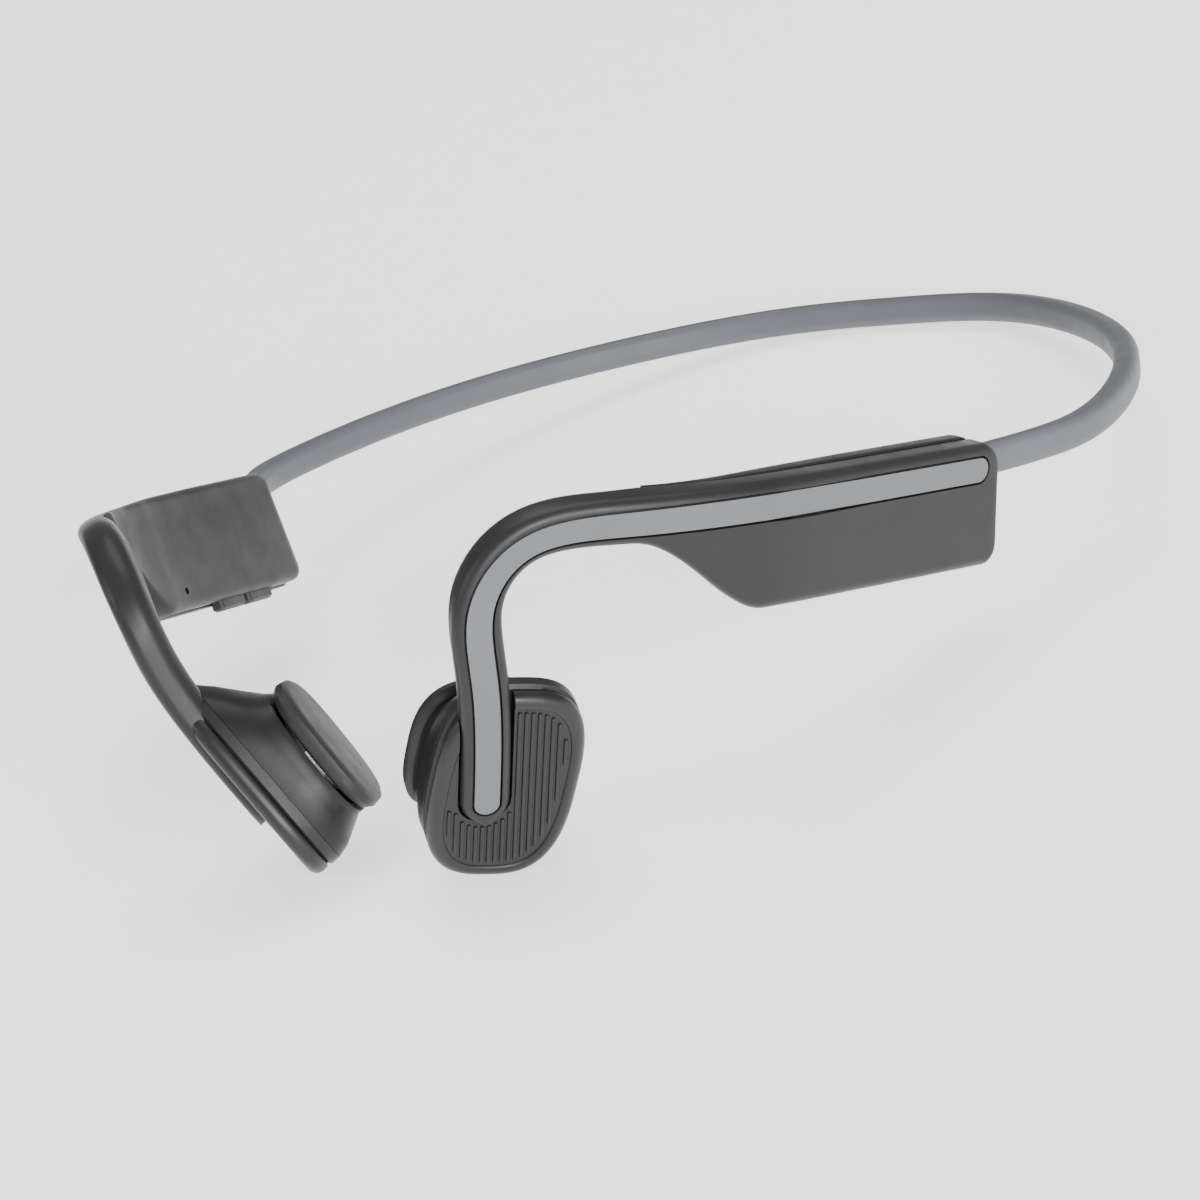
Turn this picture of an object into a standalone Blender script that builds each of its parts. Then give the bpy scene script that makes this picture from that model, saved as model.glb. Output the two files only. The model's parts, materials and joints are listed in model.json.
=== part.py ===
"""Open-ear bone conduction headset: two pods joined by a sprung neckband, each with an arm to a transducer.

The headset is drawn as it is worn: +X is the wearer's left, +Y the back, +Z up, with Y = 0 at the pods' rear
faces and Z = 0 at the level of the arms' inlay strips. The last step lays it down on a table.
"""

import math

import bmesh
import bpy
import numpy as np
from mathutils import Matrix, Vector

MM = 0.001
LEFT, RIGHT = 1, -1
SIDE_NAME = {LEFT: "left", RIGHT: "right"}
GAP = 0.3 * MM  # between pieces that seat on each other

# Overall size
POD_SPAN = 125.8 * MM  # across the outer faces, at the pods' rear ends
BAND_REACH = 84.3 * MM  # from the pods' rear faces to the back of the neckband
BAND_RISE = 17.4 * MM  # height of the neckband's back over the strips
BAND_BULGE = 6.1 * MM  # how far the neckband flares out past the pods' outer faces

# Pods
POD_LENGTH = 46.0 * MM
POD_TOE = math.radians(11.5)  # the pods converge towards the front
POD_TILT = math.radians(14.0)  # their lower edges lean inwards
POD_BELOW = 13.3 * MM  # from the strip's middle line down to the lower edge
POD_DEPTH = 7.2 * MM  # from outer face to inner face
POD_TAPER = 14.0 * MM  # over which the lower edge rises to the arm
POD_LEAN = 0.1  # how far the rear face's lower edge trails, per height
POD_CORNER = 1.6 * MM
WALL = 1.1 * MM
REAR_WALL = 2.2 * MM
SHELL_DEPTH = 3.9 * MM  # share of the depth that the outer shell takes
COVER_EDGE = 2.6 * MM
COVER_RISE = 0.4 * MM  # how far the cover stands above the shell
COVER_FACET = 5.0 * MM
COVER_OVERLAP = 12.0 * MM  # how far the cover runs on along the arm past the pod
COVER_TIP = 0.9 * MM

# Arms
ARM_WIDTH = 6.3 * MM
ARM_DEPTH = 5.1 * MM
ARM_EDGE = 1.5 * MM
ARM_INNER_EDGE = 2.4 * MM
LEG_YAW = math.radians(43.0)
LEG_TILT = math.radians(38.0)
TURN_LENGTH = 12.0 * MM  # past the straight run, by when the arm faces as far forwards as the leg
STRAIGHT = 43.2 * MM  # length of the arm's straight run from the pod's rear face
# Control points of the bend and leg, each from the one before: inwards, forwards, down
HOOK_STEPS = (
    (10.4 * MM, 13.7 * MM, 0.1 * MM),
    (10.0 * MM, 9.8 * MM, -0.7 * MM),
    (6.3 * MM, 4.0 * MM, 9.0 * MM),
    (0.7 * MM, -4.0 * MM, 9.9 * MM),
    (8.2 * MM, -7.8 * MM, 16.8 * MM),
    (0.8 * MM, -0.8 * MM, 1.5 * MM),
)
STRIP_WIDTH = 3.2 * MM
STRIP_THICKNESS = 0.6 * MM
STRIP_MARGIN = 1.9 * MM  # from the shell's ends to the strip's ends
WIRE_RADIUS = 0.45 * MM
WIRE_LEVEL = 2.9 * MM  # depth of the wires' channel under the arm's outer face

# Transducers; levels are depths under the arm's outer face
FACE_WIDTH = 18.8 * MM
FACE_HEIGHT = 29.4 * MM
FACE_BEHIND = 2.8 * MM  # the face's middle lies this far behind the leg
FACE_ABOVE_END = 4.6 * MM  # and this far above the leg's end
FACE_POWER = 2.9  # how square the outline is
FACE_TURN = math.radians(9.0)  # its upper end leans backwards from the leg's line
FACE_EDGE = 1.4 * MM
CAP_LEVEL = 1.0 * MM
CAP_THICKNESS = 1.9 * MM
BUTTON_TRAVEL = 0.4 * MM
PRESS_ROOM = BUTTON_TRAVEL + 0.1 * MM
TRAY_THICKNESS = 1.7 * MM
HOUSING_HEIGHT = 6.4 * MM
HOUSING_WALL = 1.2 * MM
WAIST_WIDTH = 15.6 * MM
WAIST_HEIGHT = 19.0 * MM
PAD_WIDTH = 16.6 * MM
PAD_HEIGHT = 20.0 * MM
PAD_THICKNESS = 2.6 * MM
PAD_YAW = math.radians(10.5)  # the pad faces more sideways than the outer face
PAD_DROP = 2.2 * MM  # and its middle lies lower
PAD_AHEAD = 2.0 * MM  # and further forwards
DRIVER_RADIUS = 5.4 * MM
DRIVER_DEPTH = 3.2 * MM
PLATE_THICKNESS = 0.4 * MM
MAGNET_RADIUS = 3.2 * MM
COIL_WALL = 0.5 * MM

# Neckband
BAND_WIDTH = 3.6 * MM
BAND_HEIGHT = 4.2 * MM
BAND_EDGE = 1.3 * MM
BAND_BORE = 1.25 * MM
BAND_LEVEL = 3.6 * MM  # depth of the band's middle line under the pods' outer faces
BAND_DROP = 0.0 * MM
BAND_SEAT = 4.0 * MM  # how far the sleeve reaches into a pod
CORE_RADIUS = 0.5 * MM
LEAD_RADIUS = 0.4 * MM
ANCHOR_LENGTH = 5.0 * MM

# Controls and charging port, in the right pod; places are measured forwards from its rear face
KEY_LENGTH = 7.2 * MM
KEY_WIDTH = 2.0 * MM
KEY_PROUD = 1.4 * MM
KEY_FLANGE = 0.5 * MM
KEY_TRAVEL = 0.4 * MM
KEY_PLACES = {"volume_down_key": 11.4 * MM, "volume_up_key": 19.8 * MM}
KEY_LEVEL = 4.7 * MM
PORT_WIDTH = 8.9 * MM
PORT_HEIGHT = 3.2 * MM
PORT_LENGTH = 5.2 * MM
PORT_WALL = 0.3 * MM
FLAP_THICKNESS = 1.0 * MM
FLAP_MARGIN = 0.6 * MM
PORT_LEVEL = 3.7 * MM
PORT_BELOW = 7.0 * MM
LIGHT_RADIUS = 0.6 * MM
LIGHT_PLACE = 28.5 * MM
MIC_PLACE = 35.0 * MM
MIC_BELOW = 10.6 * MM
MIC_HOLE = 0.5 * MM

# Electronics
BOARD_THICKNESS = 0.8 * MM
BATTERY = (21.0 * MM, 3.5 * MM, 10.2 * MM)

ROUND_SIDES = 16
CORNER_STEPS = 4
STATION_STEP = 2.5 * MM


# Curves and outlines


def mix(a, b, share):
    return a + (b - a) * share


def smooth(value, start, end):
    """0 before start, 1 after end, and an even rise between."""
    share = min(max((value - start) / (end - start), 0.0), 1.0)
    return share * share * (3 - 2 * share)


def steps_between(start, end, step):
    count = max(1, math.ceil((end - start) / step))
    return [mix(start, end, k / count) for k in range(count + 1)]


class Route:
    """A cubic B-spline that starts and ends on its outer control points, measured by its length."""

    def __init__(self, controls):
        held = [controls[0]] * 2 + list(controls) + [controls[-1]] * 2
        points = [controls[0]]
        for a, b, c, d in zip(held, held[1:], held[2:], held[3:]):
            for t in np.linspace(0, 1, 17)[1:].tolist():
                weights = ((1 - t) ** 3, 3 * t**3 - 6 * t**2 + 4, -3 * t**3 + 3 * t**2 + 3 * t + 1, t**3)
                points.append(sum((w * p for w, p in zip(weights, (a, b, c, d))), Vector()) / 6)
        self.points = np.array(points)
        lengths = np.linalg.norm(np.diff(self.points, axis=0), axis=1)
        self.marks = np.concatenate([[0.0], np.cumsum(lengths)])
        self.length = float(self.marks[-1])

    def point(self, place):
        return Vector([np.interp(place, self.marks, self.points[:, k]) for k in range(3)])

    def tangent(self, place):
        reach = 0.4 * MM
        ahead = self.point(min(place + reach, self.length))
        return (ahead - self.point(max(place - reach, 0.0))).normalized()


def rounded_rectangle(low, high, radii, steps=CORNER_STEPS):
    """An outline from corner low to corner high; radii start at the lower right and go anticlockwise."""
    (left, bottom), (right, top) = low, high
    most = 0.48 * min(right - left, top - bottom)
    corners = ((right, bottom, -1, 1), (right, top, -1, -1), (left, top, 1, -1), (left, bottom, 1, 1))
    outline = []
    for k, ((x, y, inward_x, inward_y), radius) in enumerate(zip(corners, radii)):
        radius = min(radius, most)
        centre_x, centre_y = x + inward_x * radius, y + inward_y * radius
        for step in range(steps):
            angle = math.radians(-90 + 90 * k + 90 * step / (steps - 1))
            outline.append((centre_x + radius * math.cos(angle), centre_y + radius * math.sin(angle)))
    return outline


def squircle(width, height, count=32):
    """A rounded oblong outline, as a superellipse turned with the transducer's face."""
    outline = []
    turn_c, turn_s = math.cos(FACE_TURN), math.sin(FACE_TURN)
    for k in range(count):
        angle = math.tau * k / count
        c, s = math.cos(angle), math.sin(angle)
        reach = (abs(c) ** FACE_POWER + abs(s) ** FACE_POWER) ** (-1 / FACE_POWER)
        across, along = width / 2 * c * reach, height / 2 * s * reach
        outline.append((across * turn_c + along * turn_s, along * turn_c - across * turn_s))
    return outline


def circle(radius, count=ROUND_SIDES):
    return [(radius * math.cos(math.tau * k / count), radius * math.sin(math.tau * k / count)) for k in range(count)]


# The arm's own frame: where its outer face's middle line runs, and which way it faces


def arm_controls():
    along = Vector((-math.sin(POD_TOE), -math.cos(POD_TOE), 0))
    controls = [Vector((POD_SPAN / 2, 0, 0)) + along * (STRAIGHT * k / 3) for k in range(4)]
    for inwards, forwards, down in HOOK_STEPS:
        controls.append(controls[-1] + Vector((-inwards, -forwards, -down)))
    return controls


ARM = Route(arm_controls())
COVER_END = POD_LENGTH + COVER_OVERLAP
STRIP_END = ARM.length - STRIP_MARGIN


def facing(place):
    """The outward normal, the upward edge direction and the forward direction at a place along the left arm."""
    forward = ARM.tangent(place)
    turn = smooth(place, 0.8 * STRAIGHT, STRAIGHT + TURN_LENGTH)
    drop = smooth(place, STRAIGHT, ARM.length - FACE_HEIGHT)
    yaw, tilt = mix(POD_TOE, LEG_YAW, turn), mix(POD_TILT, LEG_TILT, drop)
    outward = Vector((math.cos(yaw) * math.cos(tilt), -math.sin(yaw) * math.cos(tilt), -math.sin(tilt)))
    outward = (outward - forward * outward.dot(forward)).normalized()
    return outward, forward.cross(outward), forward


def on_arm(place, outline, lean=POD_LEAN):
    """An outline of (outward, upward) points across the left arm at a place, leaning where the pod's rear does."""
    outward, upward, forward = facing(place)
    middle = ARM.point(place)
    slope = upward + forward * lean * (1 - smooth(place, 0.0, POD_LENGTH))
    return [middle + outward * x + slope * y for x, y in outline]


def corner_inset(place, start, end, radius):
    """How far a rounded end cuts in from the full width, at a place between start and end."""
    nearest = min(place - start, end - place)
    short = max(radius - nearest, 0.0)
    return radius - math.sqrt(max(radius * radius - short * short, 0.0))


def lower_edge(place):
    """Depth of the shell's lower edge under the strip's middle line."""
    share = smooth(place, POD_LENGTH - 0.3 * POD_TAPER, POD_LENGTH + POD_TAPER)
    return mix(POD_BELOW, ARM_WIDTH / 2, share)


def upper_edge(place):
    return ARM_WIDTH / 2


# Building meshes


def clear_scene():
    for thing in list(bpy.data.objects):
        bpy.data.objects.remove(thing)


def material(name, colour, roughness, metallic=0.0):
    made = bpy.data.materials.new(name)
    made.use_nodes = True
    shader = made.node_tree.nodes["Principled BSDF"]
    shader.inputs["Base Color"].default_value = (*colour, 1.0)
    shader.inputs["Roughness"].default_value = roughness
    shader.inputs["Metallic"].default_value = metallic
    return made


def solid(name, mesh_of, look, parent):
    """One named object, from a function that fills a bmesh."""
    bm = bmesh.new()
    mesh_of(bm)
    bmesh.ops.recalc_face_normals(bm, faces=bm.faces)
    mesh = bpy.data.meshes.new(name)
    bm.to_mesh(mesh)
    bm.free()
    mesh.shade_smooth()
    mesh.set_sharp_from_angle(angle=math.radians(35))
    made = bpy.data.objects.new(name, mesh)
    bpy.context.scene.collection.objects.link(made)
    made.parent = parent
    if look is not None:
        mesh.materials.append(look)
    return made


def helper(name, mesh_of, parent):
    """A cutter or an added shape, which isn't a piece itself."""
    made = solid(name, mesh_of, None, parent)
    made.hide_render = True
    made.display_type = "WIRE"
    return made


def combine(piece, other, operation):
    modifier = piece.modifiers.new(f"{operation.lower()}_{other.name}", "BOOLEAN")
    modifier.operation = operation
    modifier.solver = "EXACT"
    modifier.object = other


def loft(rings, ends="capped"):
    """A mesh function for a skin over rings of points: capped at both ends, or joined end to end."""

    def fill(bm):
        loops = [[bm.verts.new(point) for point in ring] for ring in rings]
        pairs = list(zip(loops, loops[1:]))
        if ends == "joined":
            pairs.append((loops[-1], loops[0]))
        else:
            bm.faces.new(loops[0])
            bm.faces.new(loops[-1])
        for one, two in pairs:
            for k in range(len(one)):
                following = (k + 1) % len(one)
                bm.faces.new((one[k], one[following], two[following], two[k]))

    return fill


def mirrored(rings, side):
    """Rings drawn for the left side, or their mirror image for the right."""
    return [[Vector((side * point.x, point.y, point.z)) for point in ring] for ring in rings]


def stack(levels, side=LEFT):
    """A capped skin over (depth, outline) pairs, in a frame whose +X faces out and +Z up, with Y backwards."""
    rings = [[Vector((-depth, side * y, z)) for y, z in outline] for depth, outline in levels]
    return loft(rings)


def box(low, high, edge=0.0, side=LEFT):
    """A block between two corners (depth, behind, above), its long edges along X rounded."""
    edges = [edge] * 4
    outline = rounded_rectangle(low[1:], high[1:], edges, 4) if edge else None
    outline = outline or [(low[1], low[2]), (high[1], low[2]), (high[1], high[2]), (low[1], high[2])]
    return stack([(low[0], outline), (high[0], outline)], side)


def tube(route, radius, start, end, count=10, step=STATION_STEP, shift=None):
    """A capped round tube along part of a route, its section moved by shift(place) where that is given."""
    rings = []
    for place in steps_between(start, end, step):
        middle, forward = route.point(place), route.tangent(place)
        across = forward.cross(Vector((0.2, 0.1, 1.0))).normalized()
        up = across.cross(forward)
        middle = middle + (shift(place) if shift else Vector())
        rings.append([middle + across * x + up * y for x, y in circle(radius, count)])
    return rings


# Arm shells, strips and pod covers


def pod_stations(corner):
    """Places of a pod's sections, from its rounded rear end on: close together only where the outline changes."""
    rear = [corner * (1 - math.cos(math.radians(angle))) for angle in (0, 25, 50, 72, 90)]
    return rear + [0.25 * POD_LENGTH, 0.5 * POD_LENGTH] + steps_between(0.8 * STRAIGHT, COVER_END, STATION_STEP)


def shell_stations():
    leg = steps_between(COVER_END + GAP, ARM.length - ARM_WIDTH / 2, STATION_STEP)
    tip = [ARM.length - ARM_WIDTH / 2 * (1 - math.sin(math.radians(angle))) for angle in (25, 50, 72, 88)]
    return pod_stations(POD_CORNER) + leg + tip


def shell_ring(place):
    rear = corner_inset(place, 0.0, math.inf, POD_CORNER)
    tip = corner_inset(place, -math.inf, ARM.length, ARM_WIDTH / 2)
    past_cover = smooth(place, COVER_END + GAP, COVER_END + ARM_WIDTH)
    depth = mix(SHELL_DEPTH, ARM_DEPTH, past_cover)
    inner = mix(0.25 * MM, ARM_INNER_EDGE, past_cover)
    low = (-depth, -(lower_edge(place) - rear - tip))
    high = (0.0, upper_edge(place) - rear - tip)
    return on_arm(place, rounded_rectangle(low, high, (ARM_EDGE, ARM_EDGE, inner, inner)))


def strip_rings(start, end, half_width, outer, inner):
    """Sections of a flat strip with round ends, lying on the arm's outer face."""
    round_end = [half_width * (1 - math.cos(math.radians(angle))) for angle in (8, 30, 55, 75, 90)]
    places = [start + x for x in round_end] + [start + 0.5 * (POD_LENGTH - start)]
    places += steps_between(POD_LENGTH - 4 * MM, end - half_width, STATION_STEP)
    places += [end - x for x in reversed(round_end[:-1])]
    rings = []
    for place in places:
        half = half_width - corner_inset(place, start, end, half_width)
        rings.append(on_arm(place, [(inner, -half), (outer, -half), (outer, half), (inner, half)], 0.0))
    return rings


def pocket_rings(inner, outer, start, end, edge):
    """A rounded block along the pod, its walls WALL thick on the lower, upper and end faces."""
    rings = []
    for place in steps_between(start, end, 6 * MM):
        low = (inner, -(lower_edge(place) - WALL))
        high = (outer, upper_edge(place) - WALL)
        rings.append(on_arm(place, rounded_rectangle(low, high, (edge, edge, edge, edge), 3)))
    return rings


def cover_depth(place):
    return mix(POD_DEPTH, SHELL_DEPTH + GAP + COVER_TIP, smooth(place, 0.86 * POD_LENGTH, COVER_END))


def cover_ring(place):
    rear = corner_inset(place, 0.0, math.inf, COVER_EDGE)
    facet = mix(COVER_EDGE, COVER_FACET, smooth(place, 0.5 * POD_LENGTH, 0.95 * POD_LENGTH))
    slim = min(1.0, (cover_depth(place) - SHELL_DEPTH - GAP) / (POD_DEPTH - SHELL_DEPTH - GAP))
    low = (-cover_depth(place) + 0.6 * rear, -(lower_edge(place) - 0.3 * MM) + rear)
    rise = COVER_RISE * (1 - smooth(place, 0.5 * POD_LENGTH, COVER_END))
    high = (-SHELL_DEPTH - GAP, upper_edge(place) - 0.2 * MM + rise - rear)
    outline = rounded_rectangle(low, high, (0.2 * MM, 0.2 * MM, COVER_EDGE * slim, facet * slim), 5)
    return on_arm(place, outline)


def wire_route():
    """Middle line of an arm's wires, from inside the pod to inside the transducer's housing."""
    start, end = POD_LENGTH - 8 * MM, ARM.length - FACE_ABOVE_END
    controls = []
    for place in steps_between(start, end, 6 * MM):
        controls.append(ARM.point(place) - facing(place)[0] * WIRE_LEVEL)
    outward, _, forward = facing(end)
    inside = CAP_LEVEL + CAP_THICKNESS + PRESS_ROOM + TRAY_THICKNESS
    controls.append(ARM.point(end) + forward * 1.5 * MM - outward * (inside - 0.5 * MM))
    controls.append(controls[-1] - outward * 2.0 * MM)
    return Route(controls)


WIRES = wire_route()


def make_arm(side, looks, root):
    name = SIDE_NAME[side]
    skin = mirrored([shell_ring(place) for place in shell_stations()], side)
    shell = solid(f"{name}_arm_shell", loft(skin), looks["shell"], root)
    tray = helper(f"{name}_tray_shape", tray_mesh(side), frames[side, "transducer"])
    combine(shell, tray, "UNION")
    combine(shell, helper(f"{name}_housing_room", housing_room(side), frames[side, "transducer"]), "DIFFERENCE")
    pocket = pocket_rings(-SHELL_DEPTH - 1 * MM, -WALL, REAR_WALL, 0.86 * POD_LENGTH, 0.8 * MM)
    combine(shell, helper(f"{name}_shell_pocket", loft(mirrored(pocket, side)), root), "DIFFERENCE")
    half = STRIP_WIDTH / 2
    groove = strip_rings(STRIP_MARGIN - GAP, STRIP_END + GAP, half + GAP, 1 * MM, -STRIP_THICKNESS - GAP)
    combine(shell, helper(f"{name}_strip_groove", loft(mirrored(groove, side)), root), "DIFFERENCE")
    channel = tube(WIRES, WIRE_RADIUS + GAP, 0.0, WIRES.length, 8)
    combine(shell, helper(f"{name}_wire_channel", loft(mirrored(channel, side)), root), "DIFFERENCE")
    strip = strip_rings(STRIP_MARGIN, STRIP_END, half, 0.0, -STRIP_THICKNESS)
    solid(f"{name}_inlay_strip", loft(mirrored(strip, side)), looks["strip"], root)
    wires = tube(WIRES, WIRE_RADIUS, 0.6 * MM, WIRES.length - 0.4 * MM, 6, 3 * MM)
    solid(f"{name}_arm_wires", loft(mirrored(wires, side)), looks["wire"], root)
    return shell


def make_cover(side, looks, root):
    name = SIDE_NAME[side]
    skin = mirrored([cover_ring(place) for place in pod_stations(COVER_EDGE)], side)
    cover = solid(f"{name}_pod_cover", loft(skin), looks["cover"], root)
    hollow = []
    for place in steps_between(REAR_WALL, 0.92 * POD_LENGTH, 4 * MM):
        low = (-cover_depth(place) + WALL, -(lower_edge(place) - WALL - 0.3 * MM))
        high = (-SHELL_DEPTH + 1 * MM, upper_edge(place) - WALL - 0.2 * MM)
        facet = mix(1.6 * MM, COVER_FACET - WALL, smooth(place, 0.5 * POD_LENGTH, 0.95 * POD_LENGTH))
        radii = (0.4 * MM, 0.4 * MM, 1.6 * MM, facet)
        hollow.append(on_arm(place, rounded_rectangle(low, high, radii, 4)))
    combine(cover, helper(f"{name}_cover_hollow", loft(mirrored(hollow, side)), root), "DIFFERENCE")
    return cover


# Transducers


def tray_level():
    return CAP_LEVEL + CAP_THICKNESS + PRESS_ROOM


def housing_level():
    return tray_level() + TRAY_THICKNESS + GAP


def face_outline(inset=0.0):
    """The face's outline as (behind, above) about its own middle."""
    return squircle(FACE_WIDTH - 2 * inset, FACE_HEIGHT - 2 * inset)


def tray_mesh(side):
    top, bottom = tray_level(), tray_level() + TRAY_THICKNESS
    return stack([(top, face_outline(0.5 * MM)), (top + 0.4 * MM, face_outline()), (bottom, face_outline())], side)


def housing_room(side):
    """The room behind the tray, kept clear of the leg for the housing."""
    return stack([(housing_level() - GAP, face_outline(-GAP)), (housing_level() + 4 * MM, face_outline(-GAP))], side)


def cap_back(side):
    """Depth of the cap's back: the left one is a button, with room to be pressed, and the right one is seated."""
    return CAP_LEVEL + CAP_THICKNESS if side == LEFT else tray_level() - GAP


def cap_mesh(side):
    """The ribbed cap's plate with its rounded front edge; the ribs themselves are too fine to matter here."""
    levels = []
    for angle in (0, 30, 60, 90):
        depth = CAP_LEVEL + FACE_EDGE * (1 - math.sin(math.radians(angle)))
        inset = FACE_EDGE * (1 - math.cos(math.radians(angle)))
        levels.append((depth, face_outline(inset)))
    levels.insert(0, (cap_back(side), face_outline(0.2 * MM)))
    return stack(levels, side)


def leg_slot(side, clearance):
    """The room that the leg takes in the cap, as a block with a round lower end."""
    half = ARM_WIDTH / 2 + clearance
    low = (-1 * MM, -FACE_BEHIND - half, -FACE_ABOVE_END - clearance)
    high = (6 * MM, -FACE_BEHIND + half, FACE_HEIGHT)
    outline = rounded_rectangle(low[1:], high[1:], (half, 0.1 * MM, 0.1 * MM, half), 6)
    return stack([(low[0], outline), (high[0], outline)], side)


def on_pad(outline, rise):
    """Points of (behind, above) set on the pad's plane, raised towards the skin, as (x, y, z) of the transducer."""
    turn = Matrix.Rotation(PAD_YAW, 3, "Z")
    base = Vector((-(housing_level() + HOUSING_HEIGHT), -PAD_AHEAD, -PAD_DROP))
    return [base + turn @ Vector((-rise, y, z)) for y, z in outline]


def housing_mesh(side):
    """A tapering cup without ends: wide at the tray, drawn in to a waist under the pad."""
    wide, narrow = face_outline(), squircle(WAIST_WIDTH, WAIST_HEIGHT)
    outer, inner = [], []
    for share, pull in ((0.0, 0.0), (0.3, -0.02), (0.6, 0.01), (0.85, 0.04), (1.0, 0.0)):
        start = [Vector((-housing_level(), y, z)) for y, z in wide]
        end = on_pad(narrow, 0.0)
        draw_in = 1 - pull * 0.8
        ring = [mix(a, b, share) for a, b in zip(start, end)]
        ring = [Vector((p.x, p.y * draw_in, p.z * draw_in)) for p in ring]
        outer.append(ring)
        inner.append([inward_of(p, HOUSING_WALL) for p in ring])
    rings = outer + inner[::-1]
    return loft([[Vector((p.x, side * p.y, p.z)) for p in ring] for ring in rings], "joined")


def inward_of(point, wall):
    """The point moved towards the housing's middle axis by a wall's thickness."""
    flat = Vector((0, point.y, point.z))
    return point - flat.normalized() * wall


def pad_mesh(side):
    """The skin pad: a soft cap with a rounded rim and a flat face."""
    levels = ((0.0, 0.88), (0.12, 0.95), (0.45, 1.0), (0.8, 0.98), (0.95, 0.92), (1.0, 0.84))
    rings = []
    for rise, share in levels:
        outline = squircle(PAD_WIDTH * share, PAD_HEIGHT * share)
        rings.append(on_pad(outline, GAP + rise * PAD_THICKNESS))
    return loft([[Vector((p.x, side * p.y, p.z)) for p in ring] for ring in rings])


def pad_disc(side, top, bottom, radius, bore=0.0):
    """A disc or ring on the pad's axis, between two depths under the pad's plane."""
    low, high = circle(radius, 20), circle(radius, 20)
    rings = [on_pad(low, -bottom), on_pad(high, -top)]
    if bore:
        rings += [on_pad(circle(bore, 20), -top), on_pad(circle(bore, 20), -bottom)]
    rings = [[Vector((p.x, side * p.y, p.z)) for p in ring] for ring in rings]
    return loft(rings, "joined" if bore else "capped")


def make_button_switch(looks, frame, shell):
    """The switch that the button presses, sunk in the tray behind the leg."""
    half, middle = 1.6 * MM, FACE_WIDTH / 4
    top = cap_back(LEFT) + PRESS_ROOM
    body = box((top, middle - half, -half), (top + 1.0 * MM, middle + half, half))
    solid("multifunction_switch", body, looks["magnet"], frame)
    room = half + GAP
    pocket = box((top - MM, middle - room, -room), (top + 1.0 * MM + GAP, middle + room, room))
    combine(shell, helper("multifunction_switch_pocket", pocket, frame), "DIFFERENCE")


def make_transducer(side, looks):
    name, frame = SIDE_NAME[side], frames[side, "transducer"]
    cap_name = "multifunction_button" if side == LEFT else "right_ribbed_cap"
    cap = solid(cap_name, cap_mesh(side), looks["cap"], frame)
    combine(cap, helper(f"{name}_leg_slot", leg_slot(side, GAP), frame), "DIFFERENCE")
    solid(f"{name}_transducer_housing", housing_mesh(side), looks["cover"], frame)
    solid(f"{name}_skin_pad", pad_mesh(side), looks["pad"], frame)
    plate = pad_disc(side, 0.0, PLATE_THICKNESS, WAIST_WIDTH / 2 - HOUSING_WALL - GAP)
    solid(f"{name}_vibration_plate", plate, looks["steel"], frame)
    yoke_top, yoke_bottom = PLATE_THICKNESS + GAP, PLATE_THICKNESS + GAP + DRIVER_DEPTH
    yoke = solid(f"{name}_driver_yoke", pad_disc(side, yoke_top, yoke_bottom, DRIVER_RADIUS), looks["steel"], frame)
    well = pad_disc(side, yoke_top - 1 * MM, yoke_bottom - 1 * MM, DRIVER_RADIUS - 0.8 * MM)
    combine(yoke, helper(f"{name}_yoke_well", well, frame), "DIFFERENCE")
    magnet = pad_disc(side, yoke_top + 0.3 * MM, yoke_bottom - 1 * MM - GAP, MAGNET_RADIUS)
    solid(f"{name}_driver_magnet", magnet, looks["magnet"], frame)
    coil_outer = MAGNET_RADIUS + GAP + COIL_WALL
    coil = pad_disc(side, yoke_top, yoke_bottom - 1 * MM - 0.6 * MM, coil_outer, MAGNET_RADIUS + GAP)
    solid(f"{name}_voice_coil", coil, looks["copper"], frame)
    spring_top = yoke_bottom + GAP
    spring = pad_disc(side, spring_top, spring_top + 0.3 * MM, DRIVER_RADIUS, MAGNET_RADIUS)
    solid(f"{name}_driver_spring", spring, looks["titanium"], frame)


# Neckband


def band_controls():
    """Control points of the band's middle line, from inside the left pod round to inside the right one."""
    outward, upward, forward = facing(0.0)
    exit_point = ARM.point(0.0) - outward * BAND_LEVEL - upward * BAND_DROP
    seat = exit_point + forward * (BAND_SEAT + GAP + ANCHOR_LENGTH + 2 * MM)
    widest, back = POD_SPAN / 2 + BAND_BULGE, BAND_REACH
    left = [
        seat,
        mix(seat, exit_point, 0.5),
        exit_point,
        Vector((POD_SPAN / 2 + 0.35 * BAND_BULGE, 0.09 * back, 0.12 * BAND_RISE)),
        Vector((widest, 0.23 * back, 0.22 * BAND_RISE)),
        Vector((0.855 * widest, 0.63 * back, 0.67 * BAND_RISE)),
        Vector((0.358 * widest, back, BAND_RISE)),
        Vector((0.0, back, BAND_RISE)),
    ]
    return left + [Vector((-p.x, p.y, p.z)) for p in reversed(left[:-1])]


BAND = Route(band_controls())
BAND_TAIL = ANCHOR_LENGTH + GAP + 2 * MM  # from the route's start to the sleeve's end


def band_places(start, end):
    """Places along the band: closer together where it turns sharply, beside the pods."""
    bend = BAND_REACH / 2
    sides = steps_between(start, bend, 4 * MM), steps_between(BAND.length - bend, end, 4 * MM)
    return sides[0][:-1] + steps_between(bend, BAND.length - bend, 9 * MM) + sides[1][1:]


def band_frame(place):
    """The directions outwards and upwards across the band."""
    forward = BAND.tangent(place)
    outward = forward.cross(Vector((0, 0, 1))).normalized()
    return outward, outward.cross(forward)


def band_ring(place, outline):
    outward, upward = band_frame(place)
    middle = BAND.point(place)
    return [middle + outward * x + upward * y for x, y in outline]


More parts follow.
